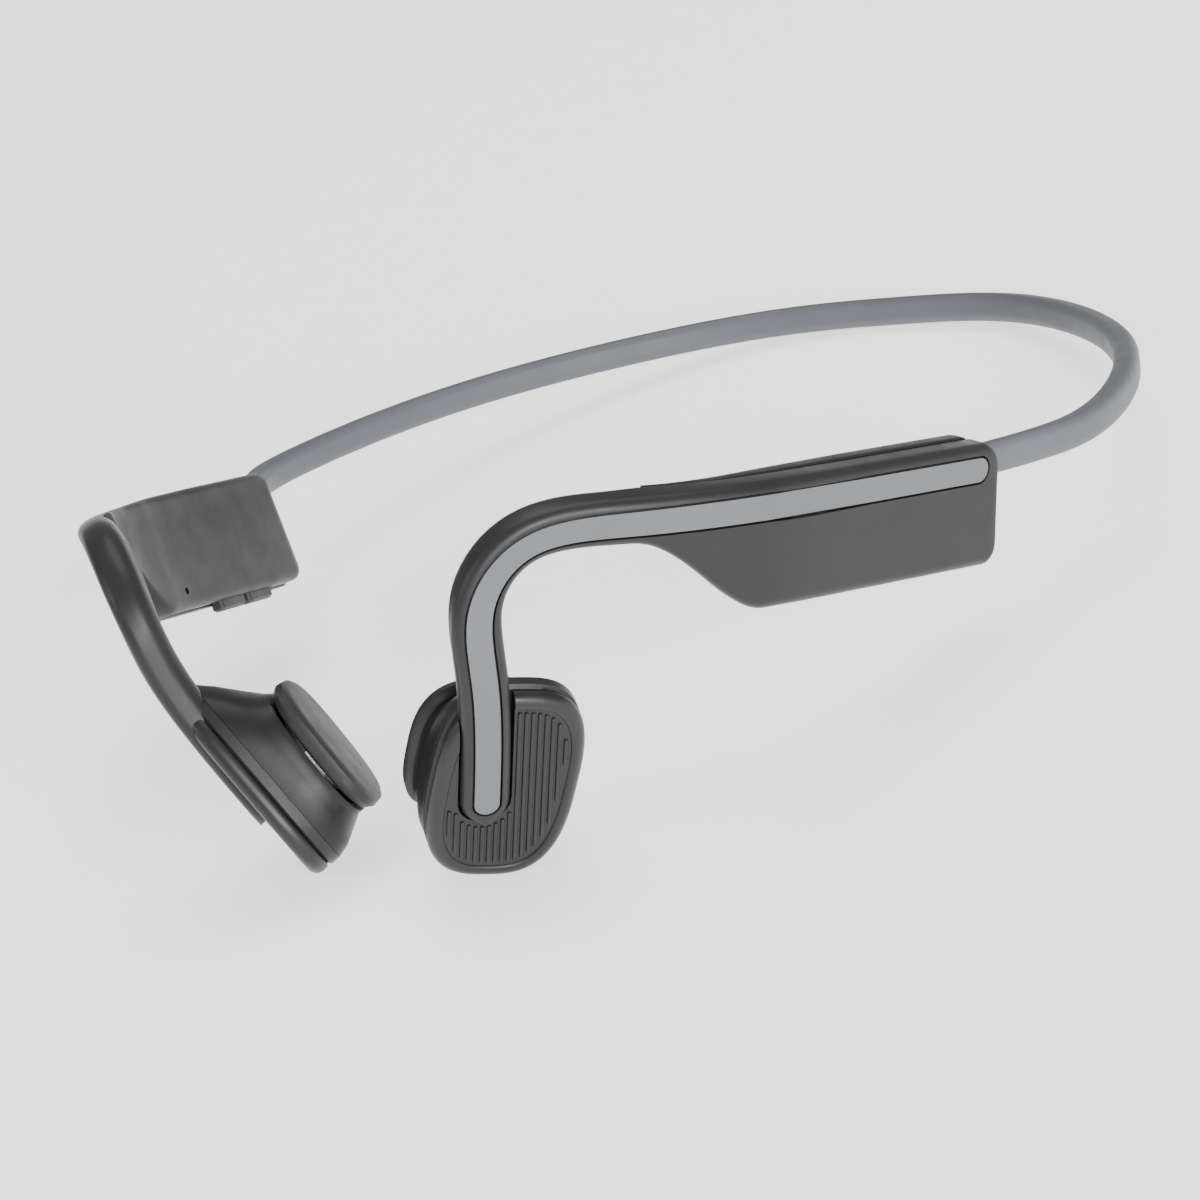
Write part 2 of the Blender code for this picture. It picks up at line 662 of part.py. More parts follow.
def band_section(extra=0.0):
    low = (-BAND_WIDTH / 2 - extra, -BAND_HEIGHT / 2 - extra)
    high = (BAND_WIDTH / 2 + extra, BAND_HEIGHT / 2 + extra)
    return rounded_rectangle(low, high, (BAND_EDGE + extra,) * 4)


def make_band(looks, root, shells, covers):
    start, end = BAND_TAIL, BAND.length - BAND_TAIL
    places = band_places(start, end)
    skin = [band_ring(place, band_section()) for place in places]
    bore = [band_ring(place, circle(BAND_BORE, 4 * CORNER_STEPS)) for place in reversed(places)]
    bore = [[ring[(k - 6) % len(ring)] for k in range(len(ring))] for ring in bore]
    solid("band_sleeve", loft(skin + bore, "joined"), looks["band"], root)
    for name, radius, height, look, reach in (
        ("band_core_wire", CORE_RADIUS, -1, looks["titanium"], 2.6 * MM),
        ("band_signal_lead", LEAD_RADIUS, 1, looks["wire"], 0.6 * MM),
    ):
        offset = height * 0.62 * MM
        rings = [
            band_ring(place, [(x, y + offset) for x, y in circle(radius, 6)])
            for place in band_places(reach, BAND.length - reach)
        ]
        solid(name, loft(rings), look, root)
    for side in (LEFT, RIGHT):
        name = SIDE_NAME[side]
        places_in = (BAND_TAIL - GAP, BAND_TAIL + 3 * MM, BAND_TAIL + 9 * MM)
        clear = [band_ring(place, band_section(GAP)) for place in places_in]
        slot = helper(f"{name}_band_slot", loft(mirrored(clear, side)), root)
        combine(shells[side], slot, "DIFFERENCE")
        combine(covers[side], slot, "DIFFERENCE")
        outline = rounded_rectangle((-1.7 * MM, -1.6 * MM), (1.7 * MM, 1.6 * MM), (0.3 * MM,) * 4, 2)
        block = [band_ring(place, outline) for place in (2 * MM, 2 * MM + ANCHOR_LENGTH)]
        anchor = solid(f"{name}_band_anchor", loft(mirrored(block, side)), looks["steel"], root)
        for height, radius in ((-1, CORE_RADIUS), (1, LEAD_RADIUS)):
            hole = [
                band_ring(place, [(x, y + height * 0.62 * MM) for x, y in circle(radius + 0.1 * MM, 8)])
                for place in (0.5 * MM, 4 * MM, 3 * MM + ANCHOR_LENGTH)
            ]
            bore_name = f"{name}_anchor_bore_{'core' if height < 0 else 'lead'}"
            combine(anchor, helper(bore_name, loft(mirrored(hole, side)), root), "DIFFERENCE")


# Electronics and controls, in each pod's own frame: +X faces out, +Z up and Y backwards from the pod's rear face


def pod_block(name, side, look, place, depth, above, edge=0.0):
    """A block given by its spans: forwards from the rear face, under the outer face, and over the strip's line."""
    low = (depth[0], -place[1], above[0])
    high = (depth[1], -place[0], above[1])
    return solid(name, box(low, high, edge, side), look, frames[side, "pod"])


def make_left_pod(looks):
    length, thickness, height = BATTERY
    front, top = 0.8 * POD_LENGTH, -0.6 * MM
    span, cell = (front - length, front), (1.6 * MM, 1.6 * MM + thickness)
    pod_block("battery_cell", LEFT, looks["battery"], span, cell, (top - height, top), 0.8 * MM)
    pad, inset = (cell[1] + GAP, cell[1] + GAP + 0.3 * MM), 2 * MM
    around = (top - height + MM, top - MM)
    pod_block("battery_foam", LEFT, looks["foam"], (span[0] + inset, span[1] - inset), pad, around)
    board = (1.6 * MM, 1.6 * MM + BOARD_THICKNESS)
    pod_block("battery_board", LEFT, looks["board"], (2.4 * MM, span[0] - GAP), board, (-12 * MM, -4 * MM))


def make_right_pod(looks, cover, shell):
    frame = frames[RIGHT, "pod"]
    board = (1.5 * MM, 1.5 * MM + BOARD_THICKNESS)
    top = board[1] + GAP
    pod_block("main_board", RIGHT, looks["board"], (11.4 * MM, 37 * MM), board, (-11.4 * MM, -0.4 * MM), 0.6 * MM)
    radio = (top, top + 1.5 * MM)
    pod_block("radio_module", RIGHT, looks["steel"], (14 * MM, 23 * MM), radio, (-9.0 * MM, -3 * MM), 0.3 * MM)
    pod_block("antenna", RIGHT, looks["ceramic"], (27 * MM, 32 * MM), (top, top + 1.1 * MM), (-5 * MM, -3 * MM))
    floor = -(POD_BELOW - 0.3 * MM)
    for name, place in KEY_PLACES.items():
        switch = name.replace("_key", "_switch")
        make_key(name, place, floor, looks, frame, (cover, shell))
        seat = floor + WALL + GAP + KEY_FLANGE + KEY_TRAVEL + 0.1 * MM
        body = (seat, seat + 1.5 * MM)
        pod_block(switch, RIGHT, looks["magnet"], (place - 1.5 * MM, place + 1.5 * MM), (3.8 * MM, 5.6 * MM), body)
    light = [(LIGHT_PLACE, floor), (LIGHT_PLACE, floor + 2.4 * MM)]
    solid("status_light_guide", upright_pin(light, LIGHT_RADIUS), looks["clear"], frame)
    hole = [(LIGHT_PLACE, floor - MM), (LIGHT_PLACE, floor + 4 * MM)]
    combine(cover, helper("light_hole", upright_pin(hole, LIGHT_RADIUS + 0.1 * MM), frame), "DIFFERENCE")
    led, around = (floor + 2.4 * MM + GAP, floor + 3.2 * MM + GAP), (LIGHT_PLACE - 0.8 * MM, LIGHT_PLACE + 0.8 * MM)
    pod_block("status_led", RIGHT, looks["clear"], around, (4.6 * MM, 5.8 * MM), led)
    make_microphone(looks, frame, cover)


def upright_pin(ends, radius):
    """A round pin that stands on the pod's lower wall."""
    rings = [
        [Vector((-KEY_LEVEL + x, place + y, height)) for x, y in circle(radius, 12)] for place, height in ends
    ]
    return loft(rings)


def make_key(name, place, floor, looks, frame, pod):
    """A key that passes through the pod's lower wall, with a flange that keeps it in."""
    levels = []
    half_length, half_width = KEY_LENGTH / 2, KEY_WIDTH / 2
    spans = (
        (floor - KEY_PROUD, -0.35 * MM),
        (floor - KEY_PROUD + 0.35 * MM, 0.0),
        (floor + WALL + GAP, 0.0),
        (floor + WALL + GAP, KEY_FLANGE),
        (floor + WALL + GAP + KEY_FLANGE, KEY_FLANGE),
    )
    for height, grow in spans:
        low = (-KEY_LEVEL - half_width - grow, place - half_length - grow)
        high = (-KEY_LEVEL + half_width + grow, place + half_length + grow)
        outline = rounded_rectangle(low, high, (0.6 * MM,) * 4)
        levels.append([Vector((x, y, height)) for x, y in outline])
    key = solid(name, loft(levels), looks["key"], frame)
    move_origin(key, Vector((-KEY_LEVEL, place, floor)))
    inside, hole, room = floor + WALL + GAP - 0.1 * MM, 0.2 * MM, KEY_FLANGE + 0.2 * MM
    top = inside + KEY_FLANGE + KEY_TRAVEL + 2 * MM
    cut = []
    for extra, height in ((hole, floor - 2 * MM), (hole, inside), (room, inside), (room, top)):
        low = (-KEY_LEVEL - half_width - extra, place - half_length - extra)
        high = (-KEY_LEVEL + half_width + extra, place + half_length + extra)
        outline = rounded_rectangle(low, high, (0.7 * MM,) * 4)
        cut.append([Vector((x, y, height)) for x, y in outline])
    cutter = helper(f"{name}_room", loft(cut), frame)
    for piece in pod:
        combine(piece, cutter, "DIFFERENCE")


def move_origin(piece, point):
    """Puts a piece's origin at a point of its parent's frame, without moving its shape."""
    piece.data.transform(Matrix.Translation(-point))
    piece.location = point


def make_port(looks, frame, cover, shell):
    """The charging socket in the rear face, its tongue and its hinged flap."""
    half_width, half_height = PORT_WIDTH / 2, PORT_HEIGHT / 2

    def outline(extra, steps=6):
        low = (-PORT_LEVEL - half_height - extra, -PORT_BELOW - half_width - extra)
        high = (-PORT_LEVEL + half_height + extra, -PORT_BELOW + half_width + extra)
        return rounded_rectangle(low, high, (half_height + extra,) * 4, steps)

    def across(extra, place):
        return [Vector((x, place, z)) for x, z in outline(extra)]

    front = FLAP_THICKNESS + PORT_LENGTH
    rear = FLAP_THICKNESS + GAP
    walls = [across(0.0, rear), across(0.0, front), across(-PORT_WALL, front), across(-PORT_WALL, rear)]
    solid("charging_socket", loft(walls, "joined"), looks["steel"], frame)
    tongue_low = (-PORT_LEVEL - 0.35 * MM, -PORT_BELOW - 3.3 * MM)
    tongue_high = (-PORT_LEVEL + 0.35 * MM, -PORT_BELOW + 3.3 * MM)
    tongue = rounded_rectangle(tongue_low, tongue_high, (0.1 * MM,) * 4, 2)
    rings = [[Vector((x, place, z)) for x, z in tongue] for place in (FLAP_THICKNESS + 1.2 * MM, front)]
    solid("charging_socket_tongue", loft(rings), looks["magnet"], frame)
    levels = ((FLAP_MARGIN - 0.3 * MM, 0.0), (FLAP_MARGIN, 0.25 * MM), (FLAP_MARGIN, FLAP_THICKNESS - GAP))
    flap = solid("charging_port_flap", loft([across(extra, place) for extra, place in levels]), looks["key"], frame)
    hinge = Vector((-PORT_LEVEL, 0.0, -PORT_BELOW - half_width - FLAP_MARGIN))
    move_origin(flap, hinge)
    recess, mouth = FLAP_MARGIN + 0.2 * MM, 0.2 * MM
    steps = ((recess, -MM), (recess, FLAP_THICKNESS), (mouth, FLAP_THICKNESS), (mouth, front + MM))
    room = helper("socket_room", loft([across(extra, place) for extra, place in steps]), frame)
    for piece in (cover, shell):
        combine(piece, room, "DIFFERENCE")


def make_microphone(looks, frame, cover):
    """A capsule behind a small round port in the cover's inner face, near its lower front corner."""
    depth = cover_depth(MIC_PLACE)

    def pin(start, end, radius):
        rings = [
            [Vector((-level, MIC_PLACE + y, -MIC_BELOW + z)) for y, z in circle(radius, 12)] for level in (start, end)
        ]
        return loft(rings)

    combine(cover, helper("microphone_port", pin(depth - 4 * MM, depth + 2 * MM, MIC_HOLE), frame), "DIFFERENCE")
    solid("microphone_capsule", pin(SHELL_DEPTH - 0.8 * MM, depth - WALL - 4 * GAP, 1.1 * MM), looks["steel"], frame)


# Frames


def empty(name, parent, matrix):
    made = bpy.data.objects.new(name, None)
    bpy.context.scene.collection.objects.link(made)
    made.parent = parent
    made.matrix_local = matrix
    return made


def frame_matrix(origin, outward, upward, side):
    """A right-handed frame with +X outwards and +Z upwards, for the left side or mirrored to the right."""
    flip = Vector((side, 1, 1))
    x_axis, z_axis = outward * flip, upward * flip
    y_axis = z_axis.cross(x_axis)
    matrix = Matrix((x_axis, y_axis, z_axis)).transposed().to_4x4()
    matrix.translation = origin * flip
    return matrix


def pod_matrix(side):
    outward, upward, _ = facing(0.0)
    return frame_matrix(ARM.point(0.0), outward, upward, side)


def transducer_matrix(side):
    place = ARM.length - FACE_ABOVE_END
    outward, upward, forward = facing(place)
    middle = ARM.point(place) - upward * FACE_BEHIND
    return frame_matrix(middle, outward, -forward, side)


frames = {}


def lay_down(root, pieces):
    """Pitches the headset until the transducers and the neckband rest on the ground, centred over the origin."""
    bpy.context.view_layer.update()
    clouds = {}
    for piece in pieces:
        matrix = root.matrix_world.inverted() @ piece.matrix_world
        clouds[piece.name] = np.array([matrix @ vertex.co for vertex in piece.data.vertices])
    band = clouds["band_sleeve"]
    rest = np.concatenate([cloud for name, cloud in clouds.items() if name != "band_sleeve"])
    low, high = 0.0, math.radians(60)
    for _ in range(40):
        pitch = (low + high) / 2
        row = np.array([0.0, -math.sin(pitch), math.cos(pitch)])
        if (band @ row).min() > (rest @ row).min():
            low = pitch
        else:
            high = pitch
    turn = Matrix.Rotation(-pitch, 4, "X")
    everything = np.concatenate([band, rest]) @ np.array(turn.to_3x3()).T
    middle = (everything.min(axis=0) + everything.max(axis=0)) / 2
    root.matrix_world = Matrix.Translation((-middle[0], -middle[1], -everything[:, 2].min())) @ turn


def make_headset():
    clear_scene()
    looks = {
        "shell": material("soft_touch_shell", (0.085, 0.085, 0.088), 0.55),
        "cover": material("soft_touch_cover", (0.055, 0.055, 0.058), 0.6),
        "strip": material("satin_strip", (0.33, 0.34, 0.36), 0.35),
        "cap": material("ribbed_rubber", (0.06, 0.06, 0.062), 0.6),
        "pad": material("pad_silicone", (0.075, 0.075, 0.078), 0.7),
        "band": material("band_silicone", (0.16, 0.17, 0.18), 0.6),
        "key": material("key_rubber", (0.03, 0.03, 0.032), 0.65),
        "steel": material("steel", (0.55, 0.55, 0.56), 0.35, 1.0),
        "titanium": material("titanium", (0.6, 0.58, 0.55), 0.3, 1.0),
        "magnet": material("dark_nickel", (0.2, 0.2, 0.21), 0.4, 1.0),
        "copper": material("copper", (0.75, 0.35, 0.2), 0.35, 1.0),
        "wire": material("wire_jacket", (0.25, 0.03, 0.03), 0.5),
        "board": material("circuit_board", (0.02, 0.13, 0.06), 0.5),
        "battery": material("battery_foil", (0.6, 0.6, 0.62), 0.4),
        "foam": material("foam", (0.05, 0.05, 0.05), 0.95),
        "ceramic": material("ceramic", (0.75, 0.75, 0.72), 0.4),
        "clear": material("clear_plastic", (0.85, 0.87, 0.9), 0.1),
    }
    root = empty("headset", None, Matrix.Identity(4))
    for side in (LEFT, RIGHT):
        frames[side, "pod"] = empty(f"{SIDE_NAME[side]}_pod", root, pod_matrix(side))
        frames[side, "transducer"] = empty(f"{SIDE_NAME[side]}_transducer", root, transducer_matrix(side))
    lean = Matrix.Rotation(-math.atan(POD_LEAN), 4, "X")
    frames[RIGHT, "port"] = empty("right_port", frames[RIGHT, "pod"], lean)
    shells = {side: make_arm(side, looks, root) for side in (LEFT, RIGHT)}
    covers = {side: make_cover(side, looks, root) for side in (LEFT, RIGHT)}
    make_port(looks, frames[RIGHT, "port"], covers[RIGHT], shells[RIGHT])
    for side in (LEFT, RIGHT):
        make_transducer(side, looks)
    make_button_switch(looks, frames[LEFT, "transducer"], shells[LEFT])
    make_band(looks, root, shells, covers)
    make_left_pod(looks)
    make_right_pod(looks, covers[RIGHT], shells[RIGHT])
    lay_down(root, [thing for thing in bpy.data.objects if thing.type == "MESH" and not thing.hide_render])


make_headset()
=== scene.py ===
"""The headset's looks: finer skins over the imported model, materials, floor, light and camera."""

import json
import math

import bmesh
import bpy
import numpy as np
from mathutils import Matrix, Vector

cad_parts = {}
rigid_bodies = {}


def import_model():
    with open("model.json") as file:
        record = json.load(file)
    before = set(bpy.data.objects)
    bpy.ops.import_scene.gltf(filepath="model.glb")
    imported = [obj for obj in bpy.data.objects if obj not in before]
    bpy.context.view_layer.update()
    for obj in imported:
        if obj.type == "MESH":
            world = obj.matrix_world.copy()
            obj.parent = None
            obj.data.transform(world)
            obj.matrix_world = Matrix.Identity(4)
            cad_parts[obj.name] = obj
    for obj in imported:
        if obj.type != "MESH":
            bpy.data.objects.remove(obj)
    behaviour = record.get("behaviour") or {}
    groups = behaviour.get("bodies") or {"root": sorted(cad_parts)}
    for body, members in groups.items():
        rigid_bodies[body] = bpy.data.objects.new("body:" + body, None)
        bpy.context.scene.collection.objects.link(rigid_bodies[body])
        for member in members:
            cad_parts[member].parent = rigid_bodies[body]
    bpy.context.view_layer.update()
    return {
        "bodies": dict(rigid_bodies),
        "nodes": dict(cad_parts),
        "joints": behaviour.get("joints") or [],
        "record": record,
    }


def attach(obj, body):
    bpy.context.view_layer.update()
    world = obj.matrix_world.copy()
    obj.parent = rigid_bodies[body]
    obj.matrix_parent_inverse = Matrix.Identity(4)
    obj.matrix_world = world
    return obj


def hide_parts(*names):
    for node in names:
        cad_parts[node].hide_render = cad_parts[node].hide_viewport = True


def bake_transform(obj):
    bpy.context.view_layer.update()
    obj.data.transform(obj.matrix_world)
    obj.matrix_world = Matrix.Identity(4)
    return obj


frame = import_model()

MM = 0.001
LEFT, RIGHT = 1, -1
SIDE_NAME = {LEFT: "left", RIGHT: "right"}
GAP = 0.3 * MM  # between pieces that seat on each other

# Overall size
POD_SPAN = 125.8 * MM  # across the outer faces, at the pods' rear ends
BAND_REACH = 84.3 * MM  # from the pods' rear faces to the back of the neckband
BAND_RISE = 17.4 * MM  # height of the neckband's back over the strips
BAND_BULGE = 6.1 * MM  # how far the neckband flares out past the pods' outer faces

# Pods
POD_LENGTH = 46.0 * MM
POD_TOE = math.radians(11.5)  # the pods converge towards the front
POD_TILT = math.radians(14.0)  # their lower edges lean inwards
POD_BELOW = 13.3 * MM  # from the strip's middle line down to the lower edge
POD_DEPTH = 7.2 * MM  # from outer face to inner face
POD_TAPER = 14.0 * MM  # over which the lower edge rises to the arm
POD_LEAN = 0.1  # how far the rear face's lower edge trails, per height
POD_CORNER = 1.6 * MM
WALL = 1.1 * MM
REAR_WALL = 2.2 * MM
SHELL_DEPTH = 3.9 * MM  # share of the depth that the outer shell takes
COVER_EDGE = 2.6 * MM
COVER_RISE = 0.4 * MM  # how far the cover stands above the shell
COVER_FACET = 5.0 * MM
COVER_OVERLAP = 12.0 * MM  # how far the cover runs on along the arm past the pod
COVER_TIP = 0.9 * MM
COVER_INSET = 0.3 * MM  # how far its lower edge stands in from the shell's

# Arms
ARM_WIDTH = 6.3 * MM
ARM_DEPTH = 5.1 * MM
ARM_EDGE = 1.5 * MM
ARM_INNER_EDGE = 2.4 * MM
LEG_YAW = math.radians(43.0)
LEG_TILT = math.radians(38.0)
TURN_LENGTH = 12.0 * MM  # past the straight run, by when the arm faces as far forwards as the leg
STRAIGHT = 43.2 * MM  # length of the arm's straight run from the pod's rear face
# Control points of the bend and leg, each from the one before: inwards, forwards, down
HOOK_STEPS = (
    (10.4 * MM, 13.7 * MM, 0.1 * MM),
    (10.0 * MM, 9.8 * MM, -0.7 * MM),
    (6.3 * MM, 4.0 * MM, 9.0 * MM),
    (0.7 * MM, -4.0 * MM, 9.9 * MM),
    (8.2 * MM, -7.8 * MM, 16.8 * MM),
    (0.8 * MM, -0.8 * MM, 1.5 * MM),
)
STRIP_WIDTH = 3.2 * MM
STRIP_THICKNESS = 0.6 * MM
STRIP_MARGIN = 1.9 * MM  # from the shell's ends to the strip's ends
WIRE_RADIUS = 0.45 * MM
WIRE_LEVEL = 2.9 * MM  # depth of the wires' channel under the arm's outer face

# Transducers; levels are depths under the arm's outer face
FACE_WIDTH = 18.8 * MM
FACE_HEIGHT = 29.4 * MM
FACE_BEHIND = 2.8 * MM  # the face's middle lies this far behind the leg
FACE_ABOVE_END = 4.6 * MM  # and this far above the leg's end
FACE_POWER = 2.9  # how square the outline is
FACE_TURN = math.radians(9.0)  # its upper end leans backwards from the leg's line
FACE_EDGE = 1.4 * MM
CAP_LEVEL = 1.0 * MM
CAP_THICKNESS = 1.9 * MM
BUTTON_TRAVEL = 0.4 * MM
PRESS_ROOM = BUTTON_TRAVEL + 0.1 * MM
TRAY_THICKNESS = 1.7 * MM
HOUSING_HEIGHT = 6.4 * MM
HOUSING_WALL = 1.2 * MM
WAIST_WIDTH = 15.6 * MM
WAIST_HEIGHT = 19.0 * MM
PAD_WIDTH = 16.6 * MM
PAD_HEIGHT = 20.0 * MM
PAD_THICKNESS = 2.6 * MM
PAD_YAW = math.radians(10.5)  # the pad faces more sideways than the outer face
PAD_DROP = 2.2 * MM  # and its middle lies lower
PAD_AHEAD = 2.0 * MM  # and further forwards

# Neckband
BAND_WIDTH = 3.6 * MM
BAND_HEIGHT = 4.2 * MM
BAND_EDGE = 1.3 * MM
BAND_BORE = 1.25 * MM
BAND_LEVEL = 3.6 * MM  # depth of the band's middle line under the pods' outer faces
BAND_DROP = 0.0 * MM
BAND_SEAT = 4.0 * MM  # how far the sleeve reaches into a pod
ANCHOR_LENGTH = 5.0 * MM

# Controls and charging port, in the right pod; places are measured forwards from its rear face
KEY_LENGTH = 7.2 * MM
KEY_WIDTH = 2.0 * MM
KEY_PROUD = 1.4 * MM
KEY_FLANGE = 0.5 * MM
KEY_TRAVEL = 0.4 * MM
KEY_PLACES = {"volume_down_key": 11.4 * MM, "volume_up_key": 19.8 * MM}
KEY_LEVEL = 4.7 * MM
PORT_WIDTH = 8.9 * MM
PORT_HEIGHT = 3.2 * MM
PORT_LENGTH = 5.2 * MM
FLAP_THICKNESS = 1.0 * MM
FLAP_MARGIN = 0.6 * MM
PORT_LEVEL = 3.7 * MM
PORT_BELOW = 7.0 * MM
LIGHT_RADIUS = 0.6 * MM
LIGHT_PLACE = 28.5 * MM
MIC_PLACE = 35.0 * MM
MIC_BELOW = 10.6 * MM
MIC_HOLE = 0.5 * MM

# Ribbed caps
RIB_PITCH = 0.86 * MM
RIB_WIDTH = 0.56 * MM
RIB_MARGIN = 2.5 * MM  # from the cap's outline to the ribbed field
RIM_DEPTH = 0.3 * MM  # how far the field's floor lies under the rim
RIB_SIDES = 12
ROUND_SIDES = 24
CORNER_STEPS = 8
STATION_STEP = 1.1 * MM


# Curves and outlines


def mix(a, b, share):
    return a + (b - a) * share


def smooth(value, start, end):
    """0 before start, 1 after end, and an even rise between."""
    share = min(max((value - start) / (end - start), 0.0), 1.0)
    return share * share * (3 - 2 * share)


def steps_between(start, end, step):
    count = max(1, math.ceil((end - start) / step))
    return [mix(start, end, k / count) for k in range(count + 1)]


class Route:
    """A cubic B-spline that starts and ends on its outer control points, measured by its length."""

    def __init__(self, controls):
        held = [controls[0]] * 2 + list(controls) + [controls[-1]] * 2
        points = [controls[0]]
        for a, b, c, d in zip(held, held[1:], held[2:], held[3:]):
            for t in np.linspace(0, 1, 65)[1:].tolist():
                weights = ((1 - t) ** 3, 3 * t**3 - 6 * t**2 + 4, -3 * t**3 + 3 * t**2 + 3 * t + 1, t**3)
                points.append(sum((w * p for w, p in zip(weights, (a, b, c, d))), Vector()) / 6)
        self.points = np.array(points)
        lengths = np.linalg.norm(np.diff(self.points, axis=0), axis=1)
        self.marks = np.concatenate([[0.0], np.cumsum(lengths)])
        self.length = float(self.marks[-1])

    def point(self, place):
        return Vector([np.interp(place, self.marks, self.points[:, k]) for k in range(3)])

    def tangent(self, place):
        reach = 0.4 * MM
        ahead = self.point(min(place + reach, self.length))
        return (ahead - self.point(max(place - reach, 0.0))).normalized()


def rounded_rectangle(low, high, radii, steps=CORNER_STEPS):
    """An outline from corner low to corner high; radii start at the lower right and go anticlockwise."""
    (left, bottom), (right, top) = low, high
    most = 0.48 * min(right - left, top - bottom)
    corners = ((right, bottom, -1, 1), (right, top, -1, -1), (left, top, 1, -1), (left, bottom, 1, 1))
    outline = []
    for k, ((x, y, inward_x, inward_y), radius) in enumerate(zip(corners, radii)):
        radius = min(radius, most)
        centre_x, centre_y = x + inward_x * radius, y + inward_y * radius
        for step in range(steps):
            angle = math.radians(-90 + 90 * k + 90 * step / (steps - 1))
            outline.append((centre_x + radius * math.cos(angle), centre_y + radius * math.sin(angle)))
    return outline


def squircle(width, height, count=112):
    """A rounded oblong outline, as a superellipse turned with the transducer's face."""
    outline = []
    turn_c, turn_s = math.cos(FACE_TURN), math.sin(FACE_TURN)
    for k in range(count):
        angle = math.tau * k / count
        c, s = math.cos(angle), math.sin(angle)
        reach = (abs(c) ** FACE_POWER + abs(s) ** FACE_POWER) ** (-1 / FACE_POWER)
        across, along = width / 2 * c * reach, height / 2 * s * reach
        outline.append((across * turn_c + along * turn_s, along * turn_c - across * turn_s))
    return outline


def circle(radius, count=ROUND_SIDES):
    turns = [math.tau * k / count for k in range(count)]
    return [(radius * math.cos(turn), radius * math.sin(turn)) for turn in turns]


# The arm's own frame: where its outer face's middle line runs, and which way it faces


def arm_controls():
    along = Vector((-math.sin(POD_TOE), -math.cos(POD_TOE), 0))
    controls = [Vector((POD_SPAN / 2, 0, 0)) + along * (STRAIGHT * k / 3) for k in range(4)]
    for inwards, forwards, down in HOOK_STEPS:
        controls.append(controls[-1] + Vector((-inwards, -forwards, -down)))
    return controls


ARM = Route(arm_controls())
COVER_END = POD_LENGTH + COVER_OVERLAP
STRIP_END = ARM.length - STRIP_MARGIN


def facing(place):
    """The outward normal, the upward edge and the forward direction at a place along the left arm."""
    forward = ARM.tangent(place)
    turn = smooth(place, 0.8 * STRAIGHT, STRAIGHT + TURN_LENGTH)
    drop = smooth(place, STRAIGHT, ARM.length - FACE_HEIGHT)
    yaw, tilt = mix(POD_TOE, LEG_YAW, turn), mix(POD_TILT, LEG_TILT, drop)
    outward = Vector((math.cos(yaw) * math.cos(tilt), -math.sin(yaw) * math.cos(tilt), -math.sin(tilt)))
    outward = (outward - forward * outward.dot(forward)).normalized()
    return outward, forward.cross(outward), forward


def on_arm(place, outline, lean=POD_LEAN):
    """(outward, upward) points set across the left arm at a place, leaning where the pod's rear does."""
    outward, upward, forward = facing(place)
    middle = ARM.point(place)
    slope = upward + forward * lean * (1 - smooth(place, 0.0, POD_LENGTH))
    return [middle + outward * x + slope * y for x, y in outline]


def corner_inset(place, start, end, radius):
    """How far a rounded end cuts in from the full width, at a place between start and end."""
    nearest = min(place - start, end - place)
    short = max(radius - nearest, 0.0)
    return radius - math.sqrt(max(radius * radius - short * short, 0.0))


def lower_edge(place):
    """Depth of the shell's lower edge under the strip's middle line."""
    share = smooth(place, POD_LENGTH - 0.3 * POD_TAPER, POD_LENGTH + POD_TAPER)
    return mix(POD_BELOW, ARM_WIDTH / 2, share)


# Building meshes


def solid(name, mesh_of, look, parent):
    """One named object, from a function that fills a bmesh."""
    bm = bmesh.new()
    mesh_of(bm)
    bmesh.ops.recalc_face_normals(bm, faces=bm.faces)
    mesh = bpy.data.meshes.new(name)
    bm.to_mesh(mesh)
    bm.free()
    mesh.shade_smooth()
    mesh.set_sharp_from_angle(angle=math.radians(35))
    made = bpy.data.objects.new(name, mesh)
    bpy.context.scene.collection.objects.link(made)
    made.parent = parent
    if look is not None:
        mesh.materials.append(look)
    return made


def helper(name, mesh_of, parent):
    """A cutter or an added shape, which isn't a piece itself."""
    made = solid(name, mesh_of, None, parent)
    made.hide_render = True
    made.display_type = "WIRE"
    return made


def combine(piece, other, operation):
    modifier = piece.modifiers.new(f"{operation.lower()}_{other.name}", "BOOLEAN")
    modifier.operation = operation
    modifier.solver = "EXACT"
    modifier.object = other


def loft(rings, ends="capped"):
    """A mesh function for a skin over rings of points: capped at both ends, or joined end to end."""

    def fill(bm):
        loops = [[bm.verts.new(point) for point in ring] for ring in rings]
        pairs = list(zip(loops, loops[1:]))
        if ends == "joined":
            pairs.append((loops[-1], loops[0]))
        else:
            bm.faces.new(loops[0])
            bm.faces.new(loops[-1])
        for one, two in pairs:
            for k in range(len(one)):
                following = (k + 1) % len(one)
                bm.faces.new((one[k], one[following], two[following], two[k]))

    return fill


def mirrored(rings, side):
    """Rings drawn for the left side, or their mirror image for the right."""
    return [[Vector((side * point.x, point.y, point.z)) for point in ring] for ring in rings]


def stack(levels, side=LEFT):
    """A capped skin over (depth, outline) pairs: +X faces out, +Z up and Y backwards."""
    rings = [[Vector((-depth, side * y, z)) for y, z in outline] for depth, outline in levels]
    return loft(rings)


def box(low, high):
    """A block between two corners (depth, behind, above)."""
    outline = [(low[1], low[2]), (high[1], low[2]), (high[1], high[2]), (low[1], high[2])]
    return stack([(low[0], outline), (high[0], outline)])


def tube(route, radius, start, end, count=10, step=STATION_STEP, shift=None):
    """A capped round tube along part of a route, moved by shift(place) where that is given."""
    rings = []
    for place in steps_between(start, end, step):
        middle, forward = route.point(place), route.tangent(place)
        across = forward.cross(Vector((0.2, 0.1, 1.0))).normalized()
        up = across.cross(forward)
        middle = middle + (shift(place) if shift else Vector())
        rings.append([middle + across * x + up * y for x, y in circle(radius, count)])
    return rings


